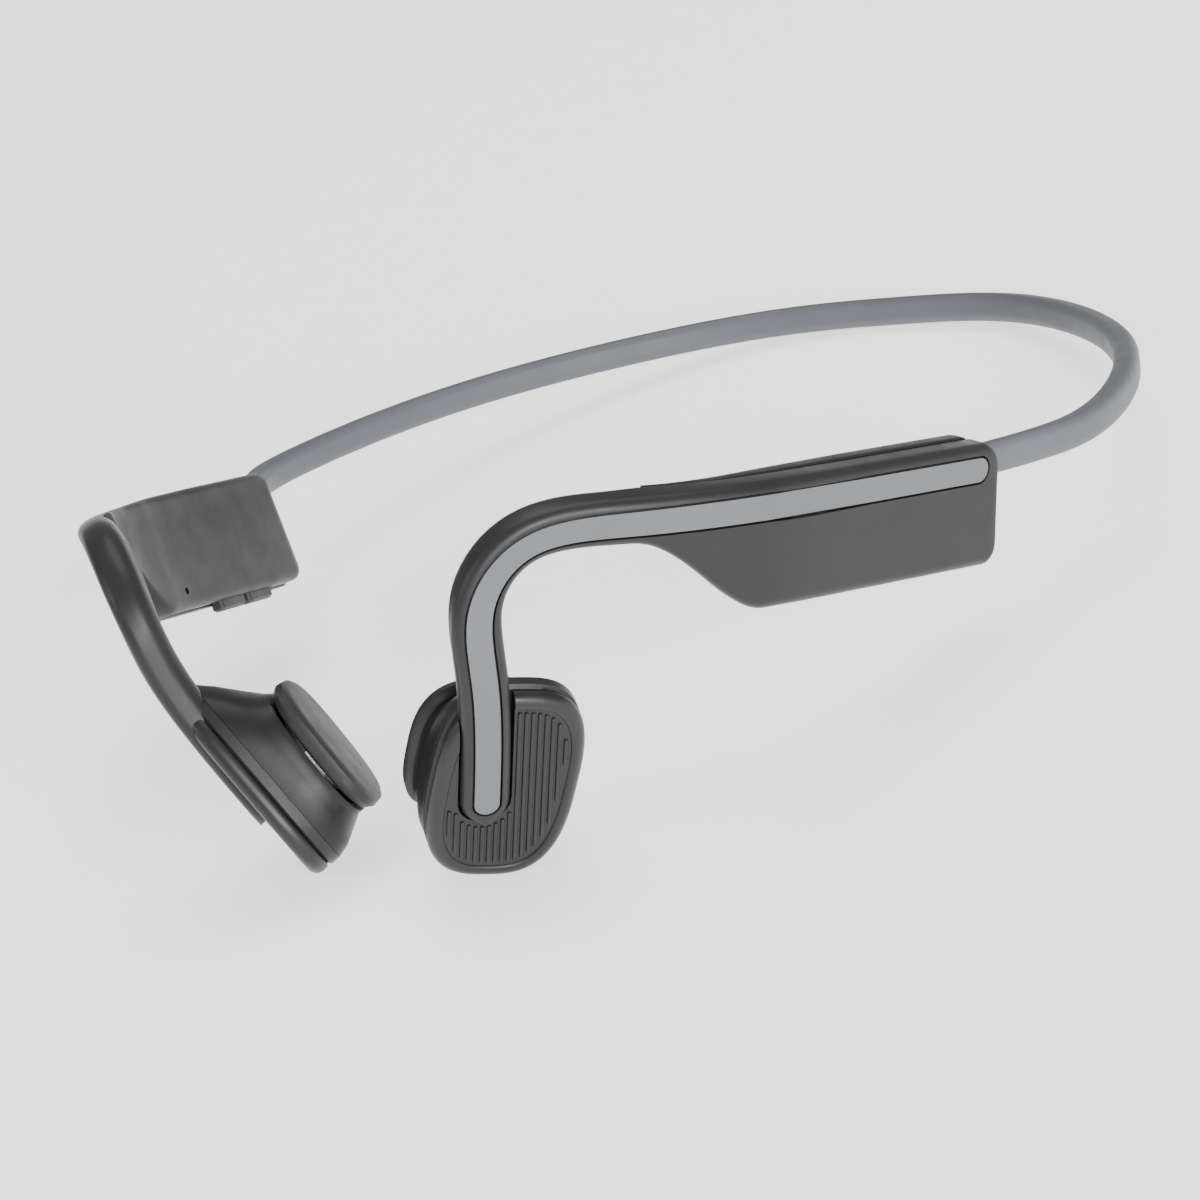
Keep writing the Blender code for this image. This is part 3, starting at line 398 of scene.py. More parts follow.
# Arm shells, strips and pod covers


def pod_stations(corner):
    """Places of a pod's sections from its rounded rear end on, close only where the outline changes."""
    rear = [corner * (1 - math.cos(math.radians(angle))) for angle in (0, 25, 50, 72, 90)]
    bend = steps_between(0.8 * STRAIGHT, COVER_END, STATION_STEP)
    return rear + [0.25 * POD_LENGTH, 0.5 * POD_LENGTH] + bend


def shell_stations():
    leg = steps_between(COVER_END + GAP, ARM.length - ARM_WIDTH / 2, STATION_STEP)
    turns = [math.radians(angle) for angle in (25, 50, 72, 88)]
    tip = [ARM.length - ARM_WIDTH / 2 * (1 - math.sin(turn)) for turn in turns]
    return pod_stations(POD_CORNER) + leg + tip


def shell_ring(place):
    rear = corner_inset(place, 0.0, math.inf, POD_CORNER)
    tip = corner_inset(place, -math.inf, ARM.length, ARM_WIDTH / 2)
    past_cover = smooth(place, COVER_END + GAP, COVER_END + ARM_WIDTH)
    depth = mix(SHELL_DEPTH, ARM_DEPTH, past_cover)
    inner = mix(0.25 * MM, ARM_INNER_EDGE, past_cover)
    low = (-depth, -(lower_edge(place) - rear - tip))
    high = (0.0, ARM_WIDTH / 2 - rear - tip)
    return on_arm(place, rounded_rectangle(low, high, (ARM_EDGE, ARM_EDGE, inner, inner)))


def strip_rings(start, end, half_width, outer, inner):
    """Sections of a flat strip with round ends, lying on the arm's outer face."""
    round_end = [half_width * (1 - math.cos(math.radians(angle))) for angle in (8, 30, 55, 75, 90)]
    places = [start + x for x in round_end] + [start + 0.5 * (POD_LENGTH - start)]
    places += steps_between(POD_LENGTH - 4 * MM, end - half_width, STATION_STEP)
    places += [end - x for x in reversed(round_end[:-1])]
    rings = []
    for place in places:
        half = half_width - corner_inset(place, start, end, half_width)
        rings.append(on_arm(place, [(inner, -half), (outer, -half), (outer, half), (inner, half)], 0.0))
    return rings


def pocket_rings(inner, outer, start, end, edge):
    """A rounded block along the pod, its walls WALL thick on the lower, upper and end faces."""
    rings = []
    for place in steps_between(start, end, 6 * MM):
        low = (inner, -(lower_edge(place) - WALL))
        high = (outer, ARM_WIDTH / 2 - WALL)
        rings.append(on_arm(place, rounded_rectangle(low, high, (edge, edge, edge, edge), 3)))
    return rings


def cover_depth(place):
    return mix(POD_DEPTH, SHELL_DEPTH + GAP + COVER_TIP, smooth(place, 0.86 * POD_LENGTH, COVER_END))


def cover_ring(place):
    rear = corner_inset(place, 0.0, math.inf, COVER_EDGE)
    facet = mix(COVER_EDGE, COVER_FACET, smooth(place, 0.5 * POD_LENGTH, 0.95 * POD_LENGTH))
    slim = min(1.0, (cover_depth(place) - SHELL_DEPTH - GAP) / (POD_DEPTH - SHELL_DEPTH - GAP))
    low = (-cover_depth(place) + 0.6 * rear, -(lower_edge(place) - COVER_INSET) + rear)
    rise = COVER_RISE * (1 - smooth(place, 0.5 * POD_LENGTH, COVER_END))
    high = (-SHELL_DEPTH - GAP, ARM_WIDTH / 2 - 0.2 * MM + rise - rear)
    outline = rounded_rectangle(low, high, (0.2 * MM, 0.2 * MM, COVER_EDGE * slim, facet * slim), 5)
    return on_arm(place, outline)


def wire_route():
    """Middle line of an arm's wires, from inside the pod to inside the transducer's housing."""
    start, end = POD_LENGTH - 8 * MM, ARM.length - FACE_ABOVE_END
    controls = []
    for place in steps_between(start, end, 6 * MM):
        controls.append(ARM.point(place) - facing(place)[0] * WIRE_LEVEL)
    outward, _, forward = facing(end)
    inside = CAP_LEVEL + CAP_THICKNESS + PRESS_ROOM + TRAY_THICKNESS
    controls.append(ARM.point(end) + forward * 1.5 * MM - outward * (inside - 0.5 * MM))
    controls.append(controls[-1] - outward * 2.0 * MM)
    return Route(controls)


WIRES = wire_route()


def make_arm(side, looks, root):
    name = SIDE_NAME[side]
    skin = mirrored([shell_ring(place) for place in shell_stations()], side)
    shell = solid(f"{name}_arm_shell", loft(skin), looks["shell"], root)
    tray = helper(f"{name}_tray_shape", tray_mesh(side), frames[side, "transducer"])
    combine(shell, tray, "UNION")
    room = helper(f"{name}_housing_room", housing_room(side), frames[side, "transducer"])
    combine(shell, room, "DIFFERENCE")
    pocket = pocket_rings(-SHELL_DEPTH - 1 * MM, -WALL, REAR_WALL, 0.86 * POD_LENGTH, 0.8 * MM)
    combine(shell, helper(f"{name}_shell_pocket", loft(mirrored(pocket, side)), root), "DIFFERENCE")
    half = STRIP_WIDTH / 2
    groove = strip_rings(STRIP_MARGIN - GAP, STRIP_END + GAP, half + GAP, 1 * MM, -STRIP_THICKNESS - GAP)
    combine(shell, helper(f"{name}_strip_groove", loft(mirrored(groove, side)), root), "DIFFERENCE")
    channel = tube(WIRES, WIRE_RADIUS + GAP, 0.0, WIRES.length, 8, 2.5 * MM)
    combine(shell, helper(f"{name}_wire_channel", loft(mirrored(channel, side)), root), "DIFFERENCE")
    strip = strip_rings(STRIP_MARGIN, STRIP_END, half, 0.0, -STRIP_THICKNESS)
    solid(f"{name}_inlay_strip", loft(mirrored(strip, side)), looks["strip"], root)
    return shell


def make_cover(side, looks, root):
    name = SIDE_NAME[side]
    skin = mirrored([cover_ring(place) for place in pod_stations(COVER_EDGE)], side)
    cover = solid(f"{name}_pod_cover", loft(skin), looks["cover"], root)
    hollow = []
    for place in steps_between(REAR_WALL, 0.92 * POD_LENGTH, 4 * MM):
        low = (-cover_depth(place) + WALL, -(lower_edge(place) - WALL - COVER_INSET))
        high = (-SHELL_DEPTH + 1 * MM, ARM_WIDTH / 2 - WALL - 0.2 * MM)
        facet = mix(1.6 * MM, COVER_FACET - WALL, smooth(place, 0.5 * POD_LENGTH, 0.95 * POD_LENGTH))
        radii = (0.4 * MM, 0.4 * MM, 1.6 * MM, facet)
        hollow.append(on_arm(place, rounded_rectangle(low, high, radii, 4)))
    combine(cover, helper(f"{name}_cover_hollow", loft(mirrored(hollow, side)), root), "DIFFERENCE")
    return cover


# Transducers


def tray_level():
    return CAP_LEVEL + CAP_THICKNESS + PRESS_ROOM


def housing_level():
    return tray_level() + TRAY_THICKNESS + GAP


def face_outline(inset=0.0):
    """The face's outline as (behind, above) about its own middle."""
    return squircle(FACE_WIDTH - 2 * inset, FACE_HEIGHT - 2 * inset)


def tray_mesh(side):
    top, bottom = tray_level(), tray_level() + TRAY_THICKNESS
    levels = [(top, face_outline(0.5 * MM)), (top + 0.4 * MM, face_outline()), (bottom, face_outline())]
    return stack(levels, side)


def housing_room(side):
    """The room behind the tray, kept clear of the leg for the housing."""
    top, outline = housing_level(), face_outline(-GAP)
    return stack([(top - GAP, outline), (top + 4 * MM, outline)], side)


def cap_back(side):
    """Depth of the cap's back: the left one has room to be pressed, and the right one is seated."""
    return CAP_LEVEL + CAP_THICKNESS if side == LEFT else tray_level() - 0.05 * MM


def cap_mesh(side):
    """The cap: a rounded plate whose front is sunk a little inside its rim, for the ribs."""
    back = cap_back(side)
    levels = [(back, face_outline(0.3 * MM)), (back - 0.3 * MM, face_outline(0.05 * MM))]
    for angle in range(0, 91, 10):
        depth = CAP_LEVEL + FACE_EDGE * (1 - math.sin(math.radians(angle)))
        if depth < levels[1][0]:
            levels.append((depth, face_outline(FACE_EDGE * (1 - math.cos(math.radians(angle))))))
    for depth, inset in ((0.03 * MM, 0.3 * MM), (0.12 * MM, 0.45 * MM), (RIM_DEPTH, 0.55 * MM)):
        levels.append((CAP_LEVEL + depth, face_outline(FACE_EDGE + inset)))
    return stack(levels, side)


def leg_slot(side, clearance):
    """The room that the leg takes in the cap, as a block with a round lower end."""
    half = ARM_WIDTH / 2 + clearance
    low = (-1 * MM, -FACE_BEHIND - half, -FACE_ABOVE_END - clearance)
    high = (6 * MM, -FACE_BEHIND + half, FACE_HEIGHT)
    outline = rounded_rectangle(low[1:], high[1:], (half, 0.1 * MM, 0.1 * MM, half), 6)
    return stack([(low[0], outline), (high[0], outline)], side)


def on_pad(outline, rise):
    """(behind, above) points on the pad's plane, raised towards the skin, in the transducer's frame."""
    turn = Matrix.Rotation(PAD_YAW, 3, "Z")
    base = Vector((-(housing_level() + HOUSING_HEIGHT), -PAD_AHEAD, -PAD_DROP))
    return [base + turn @ Vector((-rise, y, z)) for y, z in outline]


def housing_mesh(side):
    """A tapering cup without ends: wide at the tray, drawn in to a waist under the pad."""
    wide, narrow = face_outline(), squircle(WAIST_WIDTH, WAIST_HEIGHT)
    outer, inner = [], []
    for share, pull in ((0.0, 0.0), (0.3, -0.02), (0.6, 0.01), (0.85, 0.04), (1.0, 0.0)):
        start = [Vector((-(housing_level() - 0.8 * GAP), y, z)) for y, z in wide]
        end = on_pad(narrow, 0.0)
        draw_in = 1 - pull * 0.8
        ring = [mix(a, b, share) for a, b in zip(start, end)]
        ring = [Vector((p.x, p.y * draw_in, p.z * draw_in)) for p in ring]
        outer.append(ring)
        inner.append([inward_of(p, HOUSING_WALL) for p in ring])
    rings = outer + inner[::-1]
    return loft([[Vector((p.x, side * p.y, p.z)) for p in ring] for ring in rings], "joined")


def inward_of(point, wall):
    """The point moved towards the housing's middle axis by a wall's thickness."""
    flat = Vector((0, point.y, point.z))
    return point - flat.normalized() * wall


def pad_mesh(side):
    """The skin pad: a soft cap with a rounded rim and a flat face."""
    levels = ((0.0, 0.88), (0.12, 0.95), (0.45, 1.0), (0.8, 0.98), (0.95, 0.92), (1.0, 0.84))
    rings = []
    for rise, share in levels:
        outline = squircle(PAD_WIDTH * share, PAD_HEIGHT * share)
        rings.append(on_pad(outline, GAP + rise * PAD_THICKNESS))
    return loft([[Vector((p.x, side * p.y, p.z)) for p in ring] for ring in rings])


def cut_switch_pocket(frame, shell):
    """The pocket in the tray for the switch that the button presses."""
    half, middle = 1.6 * MM, FACE_WIDTH / 4
    top = cap_back(LEFT) + PRESS_ROOM
    room = half + GAP
    pocket = box((top - MM, middle - room, -room), (top + 1.0 * MM + GAP, middle + room, room))
    combine(shell, helper("multifunction_switch_pocket", pocket, frame), "DIFFERENCE")


def make_transducer(side, looks):
    name, frame = SIDE_NAME[side], frames[side, "transducer"]
    cap_name = "multifunction_button" if side == LEFT else "right_ribbed_cap"
    cap = solid(cap_name, cap_mesh(side), looks["cap"], frame)
    combine(cap, helper(f"{name}_leg_slot", leg_slot(side, GAP), frame), "DIFFERENCE")
    solid(f"{name}_transducer_housing", housing_mesh(side), looks["cover"], frame)
    solid(f"{name}_skin_pad", pad_mesh(side), looks["pad"], frame)


# Neckband


def band_controls():
    """Control points of the band's middle line, from inside the left pod to inside the right one."""
    outward, upward, forward = facing(0.0)
    exit_point = ARM.point(0.0) - outward * BAND_LEVEL - upward * BAND_DROP
    seat = exit_point + forward * (BAND_SEAT + GAP + ANCHOR_LENGTH + 2 * MM)
    widest, back = POD_SPAN / 2 + BAND_BULGE, BAND_REACH
    left = [
        seat,
        mix(seat, exit_point, 0.5),
        exit_point,
        Vector((POD_SPAN / 2 + 0.35 * BAND_BULGE, 0.09 * back, 0.12 * BAND_RISE)),
        Vector((widest, 0.23 * back, 0.22 * BAND_RISE)),
        Vector((0.855 * widest, 0.63 * back, 0.67 * BAND_RISE)),
        Vector((0.358 * widest, back, BAND_RISE)),
        Vector((0.0, back, BAND_RISE)),
    ]
    return left + [Vector((-p.x, p.y, p.z)) for p in reversed(left[:-1])]


BAND = Route(band_controls())
BAND_TAIL = ANCHOR_LENGTH + GAP + 2 * MM  # from the route's start to the sleeve's end


def band_places(start, end):
    """Places along the band: closer together where it turns sharply, beside the pods."""
    bend = BAND_REACH / 2
    sides = steps_between(start, bend, 1.2 * MM), steps_between(BAND.length - bend, end, 1.2 * MM)
    return sides[0][:-1] + steps_between(bend, BAND.length - bend, 2.0 * MM) + sides[1][1:]


def band_frame(place):
    """The directions outwards and upwards across the band."""
    forward = BAND.tangent(place)
    outward = forward.cross(Vector((0, 0, 1))).normalized()
    return outward, outward.cross(forward)


def band_ring(place, outline):
    outward, upward = band_frame(place)
    middle = BAND.point(place)
    return [middle + outward * x + upward * y for x, y in outline]


def band_section(extra=0.0):
    low = (-BAND_WIDTH / 2 - extra, -BAND_HEIGHT / 2 - extra)
    high = (BAND_WIDTH / 2 + extra, BAND_HEIGHT / 2 + extra)
    return rounded_rectangle(low, high, (BAND_EDGE + extra,) * 4)


def make_band(looks, root, shells, covers):
    start, end = BAND_TAIL, BAND.length - BAND_TAIL
    places = band_places(start, end)
    skin = [band_ring(place, band_section()) for place in places]
    bore = [band_ring(place, circle(BAND_BORE, 4 * CORNER_STEPS)) for place in reversed(places)]
    bore = [[ring[(k - 6) % len(ring)] for k in range(len(ring))] for ring in bore]
    solid("band_sleeve", loft(skin + bore, "joined"), looks["band"], root)
    for side in (LEFT, RIGHT):
        name = SIDE_NAME[side]
        places_in = (BAND_TAIL - GAP, BAND_TAIL + 3 * MM, BAND_TAIL + 9 * MM)
        clear = [band_ring(place, band_section(GAP)) for place in places_in]
        slot = helper(f"{name}_band_slot", loft(mirrored(clear, side)), root)
        combine(shells[side], slot, "DIFFERENCE")
        combine(covers[side], slot, "DIFFERENCE")


# Controls, in the right pod's own frame: +X faces out, +Z up and Y forwards from the rear face


def make_controls(looks, cover, shell):
    """The volume keys, and the holes for the status light and the microphone."""
    frame = frames[RIGHT, "pod"]
    floor = -(POD_BELOW - COVER_INSET)
    for name, place in KEY_PLACES.items():
        make_key(name, place, floor, looks, frame, (cover, shell))
    hole = [(LIGHT_PLACE, floor - MM), (LIGHT_PLACE, floor + 4 * MM)]
    combine(cover, helper("light_hole", upright_pin(hole, LIGHT_RADIUS + 0.1 * MM), frame), "DIFFERENCE")
    cut_microphone_port(frame, cover)


def upright_pin(ends, radius):
    """A round pin that stands on the pod's lower wall."""
    rings = [
        [Vector((-KEY_LEVEL + x, place + y, height)) for x, y in circle(radius, 12)]
        for place, height in ends
    ]
    return loft(rings)


def make_key(name, place, floor, looks, frame, pod):
    """A key that passes through the pod's lower wall, with a flange that keeps it in."""
    levels = []
    half_length, half_width = KEY_LENGTH / 2, KEY_WIDTH / 2
    spans = (
        (floor - KEY_PROUD, -0.35 * MM),
        (floor - KEY_PROUD + 0.35 * MM, 0.0),
        (floor + WALL + GAP, 0.0),
        (floor + WALL + GAP, KEY_FLANGE),
        (floor + WALL + GAP + KEY_FLANGE, KEY_FLANGE),
    )
    for height, grow in spans:
        low = (-KEY_LEVEL - half_width - grow, place - half_length - grow)
        high = (-KEY_LEVEL + half_width + grow, place + half_length + grow)
        outline = rounded_rectangle(low, high, (0.6 * MM,) * 4)
        levels.append([Vector((x, y, height)) for x, y in outline])
    key = solid(name, loft(levels), looks["key"], frame)
    move_origin(key, Vector((-KEY_LEVEL, place, floor)))
    inside, hole, room = floor + WALL + GAP - 0.1 * MM, 0.2 * MM, KEY_FLANGE + 0.2 * MM
    top = inside + KEY_FLANGE + KEY_TRAVEL + 2 * MM
    cut = []
    for extra, height in ((hole, floor - 2 * MM), (hole, inside), (room, inside), (room, top)):
        low = (-KEY_LEVEL - half_width - extra, place - half_length - extra)
        high = (-KEY_LEVEL + half_width + extra, place + half_length + extra)
        outline = rounded_rectangle(low, high, (0.7 * MM,) * 4)
        cut.append([Vector((x, y, height)) for x, y in outline])
    cutter = helper(f"{name}_room", loft(cut), frame)
    for piece in pod:
        combine(piece, cutter, "DIFFERENCE")


def move_origin(piece, point):
    """Puts a piece's origin at a point of its parent's frame, without moving its shape."""
    piece.data.transform(Matrix.Translation(-point))
    piece.location = point


def make_port(looks, frame, cover, shell):
    """The charging port's hinged flap, and the room for it and its socket in the rear face."""
    half_width, half_height = PORT_WIDTH / 2, PORT_HEIGHT / 2

    def outline(extra, steps=6):
        low = (-PORT_LEVEL - half_height - extra, -PORT_BELOW - half_width - extra)
        high = (-PORT_LEVEL + half_height + extra, -PORT_BELOW + half_width + extra)
        return rounded_rectangle(low, high, (half_height + extra,) * 4, steps)

    def across(extra, place):
        return [Vector((x, place, z)) for x, z in outline(extra)]

    front = FLAP_THICKNESS + PORT_LENGTH
    levels = (
        (FLAP_MARGIN - 0.3 * MM, 0.0),
        (FLAP_MARGIN, 0.25 * MM),
        (FLAP_MARGIN, FLAP_THICKNESS - GAP),
    )
    leaf = loft([across(extra, place) for extra, place in levels])
    flap = solid("charging_port_flap", leaf, looks["key"], frame)
    hinge = Vector((-PORT_LEVEL, 0.0, -PORT_BELOW - half_width - FLAP_MARGIN))
    move_origin(flap, hinge)
    recess, mouth = FLAP_MARGIN + 0.2 * MM, 0.2 * MM
    steps = ((recess, -MM), (recess, FLAP_THICKNESS), (mouth, FLAP_THICKNESS), (mouth, front + MM))
    room = helper("socket_room", loft([across(extra, place) for extra, place in steps]), frame)
    for piece in (cover, shell):
        combine(piece, room, "DIFFERENCE")


def cut_microphone_port(frame, cover):
    """A small round port in the cover's inner face, near its lower front corner."""
    depth = cover_depth(MIC_PLACE)
    rings = [
        [Vector((-level, MIC_PLACE + y, -MIC_BELOW + z)) for y, z in circle(MIC_HOLE, 12)]
        for level in (depth - 4 * MM, depth + 2 * MM)
    ]
    combine(cover, helper("microphone_port", loft(rings), frame), "DIFFERENCE")


# Frames


def empty(name, parent, matrix):
    made = bpy.data.objects.new(name, None)
    bpy.context.scene.collection.objects.link(made)
    made.parent = parent
    made.matrix_local = matrix
    return made


def frame_matrix(origin, outward, upward, side):
    """A right-handed frame, +X outwards and +Z upwards, for the left side or mirrored to the right."""
    flip = Vector((side, 1, 1))
    x_axis, z_axis = outward * flip, upward * flip
    y_axis = z_axis.cross(x_axis)
    matrix = Matrix((x_axis, y_axis, z_axis)).transposed().to_4x4()
    matrix.translation = origin * flip
    return matrix


def pod_matrix(side):
    outward, upward, _ = facing(0.0)
    return frame_matrix(ARM.point(0.0), outward, upward, side)


def transducer_matrix(side):
    place = ARM.length - FACE_ABOVE_END
    outward, upward, forward = facing(place)
    middle = ARM.point(place) - upward * FACE_BEHIND
    return frame_matrix(middle, outward, -forward, side)


frames = {}

# Where the headset lies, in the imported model's frame
LYING = Matrix(
    (
        (1, 0, 0, 0),
        (0, 0.91514, 0.40313, -0.00779),
        (0, -0.40313, 0.91514, 0.02028),
        (0, 0, 0, 1),
    )
)


# Materials


def wire(tree, source, socket, target, into):
    tree.links.new(source.outputs[socket], target.inputs[into])


def noise(tree, coordinates, scale, detail=3.0):
    made = tree.nodes.new("ShaderNodeTexNoise")
    made.inputs["Scale"].default_value = scale
    made.inputs["Detail"].default_value = detail
    wire(tree, coordinates, "Object", made, "Vector")
    return made


def spread(tree, source, low, high):
    made = tree.nodes.new("ShaderNodeMapRange")
    made.inputs["From Min"].default_value = 0.3
    made.inputs["From Max"].default_value = 0.7
    made.inputs["To Min"].default_value = low
    made.inputs["To Max"].default_value = high
    wire(tree, source, "Fac", made, "Value")
    return made


def finish_look(
    name,
    colour,
    roughness,
    metallic=0.0,
    grain=2200.0,
    depth=0.02,
    mottle=0.04,
    uneven=0.05,
    specular=0.5,
):
    """A moulded or brushed surface: mottled colour, uneven roughness and a fine grain."""
    made = bpy.data.materials.new(name)
    made.use_nodes = True
    tree = made.node_tree
    shader = tree.nodes["Principled BSDF"]
    shader.inputs["Metallic"].default_value = metallic
    shader.inputs["Specular IOR Level"].default_value = specular
    coordinates = tree.nodes.new("ShaderNodeTexCoord")
    cloud = noise(tree, coordinates, 90.0, 5.0)
    ramp = tree.nodes.new("ShaderNodeValToRGB")
    ramp.color_ramp.elements[0].position = 0.3
    ramp.color_ramp.elements[1].position = 0.7
    ramp.color_ramp.elements[0].color = (*[c * (1 - mottle) for c in colour], 1)
    ramp.color_ramp.elements[1].color = (*[c * (1 + mottle) for c in colour], 1)
    wire(tree, cloud, "Fac", ramp, "Fac")
    wire(tree, ramp, "Color", shader, "Base Color")
    patches = noise(tree, coordinates, 260.0, 4.0)
    rough = spread(tree, patches, roughness - uneven, roughness + uneven)
    wire(tree, rough, "Result", shader, "Roughness")
    fine = noise(tree, coordinates, grain, 2.0)
    bump = tree.nodes.new("ShaderNodeBump")
    bump.inputs["Strength"].default_value = 0.5
    bump.inputs["Distance"].default_value = depth * MM
    wire(tree, fine, "Fac", bump, "Height")
    wire(tree, bump, "Normal", shader, "Normal")
    return made


LOOKS = {
    "shell": finish_look("shell_soft_touch", (0.017, 0.0174, 0.0182), 0.4, depth=0.008, specular=0.25),
    "cover": finish_look("cover_soft_touch", (0.0095, 0.0097, 0.0102), 0.42, depth=0.008, specular=0.25),
    "strip": finish_look(
        "strip_satin", (0.125, 0.13, 0.138), 0.28, 0.35, grain=5200.0,
        depth=0.0012, mottle=0.03, uneven=0.04,
    ),
    "cap": finish_look("cap_rubber", (0.0125, 0.0128, 0.0133), 0.38, depth=0.006, specular=0.35),
    "pad": finish_look("pad_silicone", (0.02, 0.0204, 0.0212), 0.5, depth=0.01, specular=0.3),
    "band": finish_look(
        "band_silicone", (0.1, 0.108, 0.119), 0.5, grain=1800.0, depth=0.01, mottle=0.05, specular=0.3
    ),
    "key": finish_look("key_rubber_fine", (0.016, 0.016, 0.017), 0.5, depth=0.01),
    "steel": finish_look(
        "steel_stamped", (0.55, 0.55, 0.56), 0.35, 1.0, grain=4000.0, depth=0.006, mottle=0.05
    ),
    "titanium": finish_look(
        "titanium_drawn", (0.6, 0.58, 0.55), 0.3, 1.0, grain=4000.0, depth=0.006, mottle=0.05
    ),
    "magnet": finish_look(
        "nickel_dark", (0.2, 0.2, 0.21), 0.4, 1.0, grain=4000.0, depth=0.004, mottle=0.05
    ),
    "copper": finish_look("copper_wound", (0.75, 0.35, 0.2), 0.35, 1.0, grain=3500.0, depth=0.02),
    "wire": finish_look("wire_jacket_fine", (0.25, 0.03, 0.03), 0.5, depth=0.006),
    "board": finish_look("board_green", (0.02, 0.13, 0.06), 0.45, grain=1500.0, depth=0.01, mottle=0.2),
    "battery": finish_look("battery_pouch", (0.6, 0.6, 0.62), 0.35, 0.6, grain=900.0, depth=0.03),
    "foam": finish_look("foam_open", (0.05, 0.05, 0.05), 0.92, grain=1500.0, depth=0.1, uneven=0.05),
    "ceramic": finish_look("ceramic_white", (0.75, 0.75, 0.72), 0.35, depth=0.004, mottle=0.03),
    "clear": finish_look("light_pipe", (0.85, 0.87, 0.9), 0.18, depth=0.003, mottle=0.03, uneven=0.05),
}


# The ribbed caps


def span_across(outline, y):
    """Where a line of constant y crosses a closed outline of (y, z) points: its lowest and highest z."""
    found = []
    for (y0, z0), (y1, z1) in zip(outline, outline[1:] + outline[:1]):
        if (y0 - y) * (y1 - y) <= 0 and y0 != y1:
            found.append(z0 + (z1 - z0) * (y - y0) / (y1 - y0))
    return (min(found), max(found)) if len(found) > 1 else None


def rib_rings(y, low, high, side):
    """A rib with round ends and a crowned top, from the recess's floor out."""
    rings = []
    foot = (RIM_DEPTH + 0.05 * MM, 0.0)
    for depth, inset in (foot, (0.12 * MM, 0.0), (0.04 * MM, 0.05 * MM), (0.0, 0.14 * MM)):
        half = RIB_WIDTH / 2 - inset
        ring = []
        for k in range(RIB_SIDES):
            angle = math.tau * k / RIB_SIDES
            end = high - RIB_WIDTH / 2 if k < RIB_SIDES / 2 else low + RIB_WIDTH / 2
            across, above = y + half * math.cos(angle), end + half * math.sin(angle)
            ring.append(Vector((-(CAP_LEVEL + depth), side * across, above)))
        rings.append(ring)
    return rings


def add_ribs(mesh, side):
    bm = bmesh.new()
    bm.from_mesh(mesh)
    field = face_outline(RIB_MARGIN)
    half = ARM_WIDTH / 2 + GAP + 0.35 * MM
    count = int(FACE_WIDTH / RIB_PITCH / 2) + 1
    for k in range(-count, count + 1):
        y = (k + 0.5) * RIB_PITCH
        found = span_across(field, y)
        if not found:
            continue
        low, high = found
        aside = abs(y + FACE_BEHIND)
        if aside < half + RIB_WIDTH / 2:
            drop = math.sqrt(max(half * half - aside * aside, 0.0))
            high = min(high, -FACE_ABOVE_END + ARM_WIDTH / 2 - drop - 0.5 * MM)
        if high - low > 1.6 * MM:
            loft(rib_rings(y, low, high, side))(bm)
    bmesh.ops.recalc_face_normals(bm, faces=bm.faces)
    bm.to_mesh(mesh)
    bm.free()


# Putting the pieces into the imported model's frame


def settle(source, extra=None):
    """The evaluated mesh of a piece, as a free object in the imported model's frame."""
    graph = bpy.context.evaluated_depsgraph_get()
    evaluated = source.evaluated_get(graph)
    mesh = bpy.data.meshes.new_from_object(evaluated)
    if extra:
        extra(mesh)
    mesh.transform(source.matrix_world)
    if source.matrix_world.determinant() < 0:
        mesh.flip_normals()
    mesh.shade_smooth()
    mesh.set_sharp_from_angle(angle=math.radians(38))
    piece = bpy.data.objects.new(f"{source.name}_skin", mesh)
    bpy.context.scene.collection.objects.link(piece)
    mesh.materials.clear()
    mesh.materials.append(source.data.materials[0])
    return piece


def make_skins():
    """Every outer piece again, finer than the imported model, each standing for its CAD node."""
    root = empty("drawing_frame", None, Matrix.Identity(4))
    for side in (LEFT, RIGHT):
        name = SIDE_NAME[side]
        frames[side, "pod"] = empty(f"{name}_pod_frame", root, pod_matrix(side))
        frames[side, "transducer"] = empty(f"{name}_transducer_frame", root, transducer_matrix(side))
    leaning = Matrix.Rotation(-math.atan(POD_LEAN), 4, "X")
    frames[RIGHT, "port"] = empty("right_port_frame", frames[RIGHT, "pod"], leaning)
    before = set(bpy.data.objects)
    shells = {side: make_arm(side, LOOKS, root) for side in (LEFT, RIGHT)}
    covers = {side: make_cover(side, LOOKS, root) for side in (LEFT, RIGHT)}
    make_port(LOOKS, frames[RIGHT, "port"], covers[RIGHT], shells[RIGHT])
    for side in (LEFT, RIGHT):
        make_transducer(side, LOOKS)
    cut_switch_pocket(frames[LEFT, "transducer"], shells[LEFT])
    make_band(LOOKS, root, shells, covers)
    make_controls(LOOKS, covers[RIGHT], shells[RIGHT])
    root.matrix_world = LYING
    bpy.context.view_layer.update()
    drawn = {thing.name.split(".")[0]: thing for thing in bpy.data.objects if thing not in before}
    kept = []
    for name, body in SKINS.items():
        extra = None
        if name == "multifunction_button":
            extra = lambda mesh: add_ribs(mesh, LEFT)
        if name == "right_ribbed_cap":
            extra = lambda mesh: add_ribs(mesh, RIGHT)
        kept.append((name, body, settle(drawn[name], extra)))
    for thing in list(bpy.data.objects):
        if thing not in before and not thing.name.endswith("_skin"):
            bpy.data.objects.remove(thing)
    for thing in [root, *frames.values()]:
        bpy.data.objects.remove(thing)
    return kept


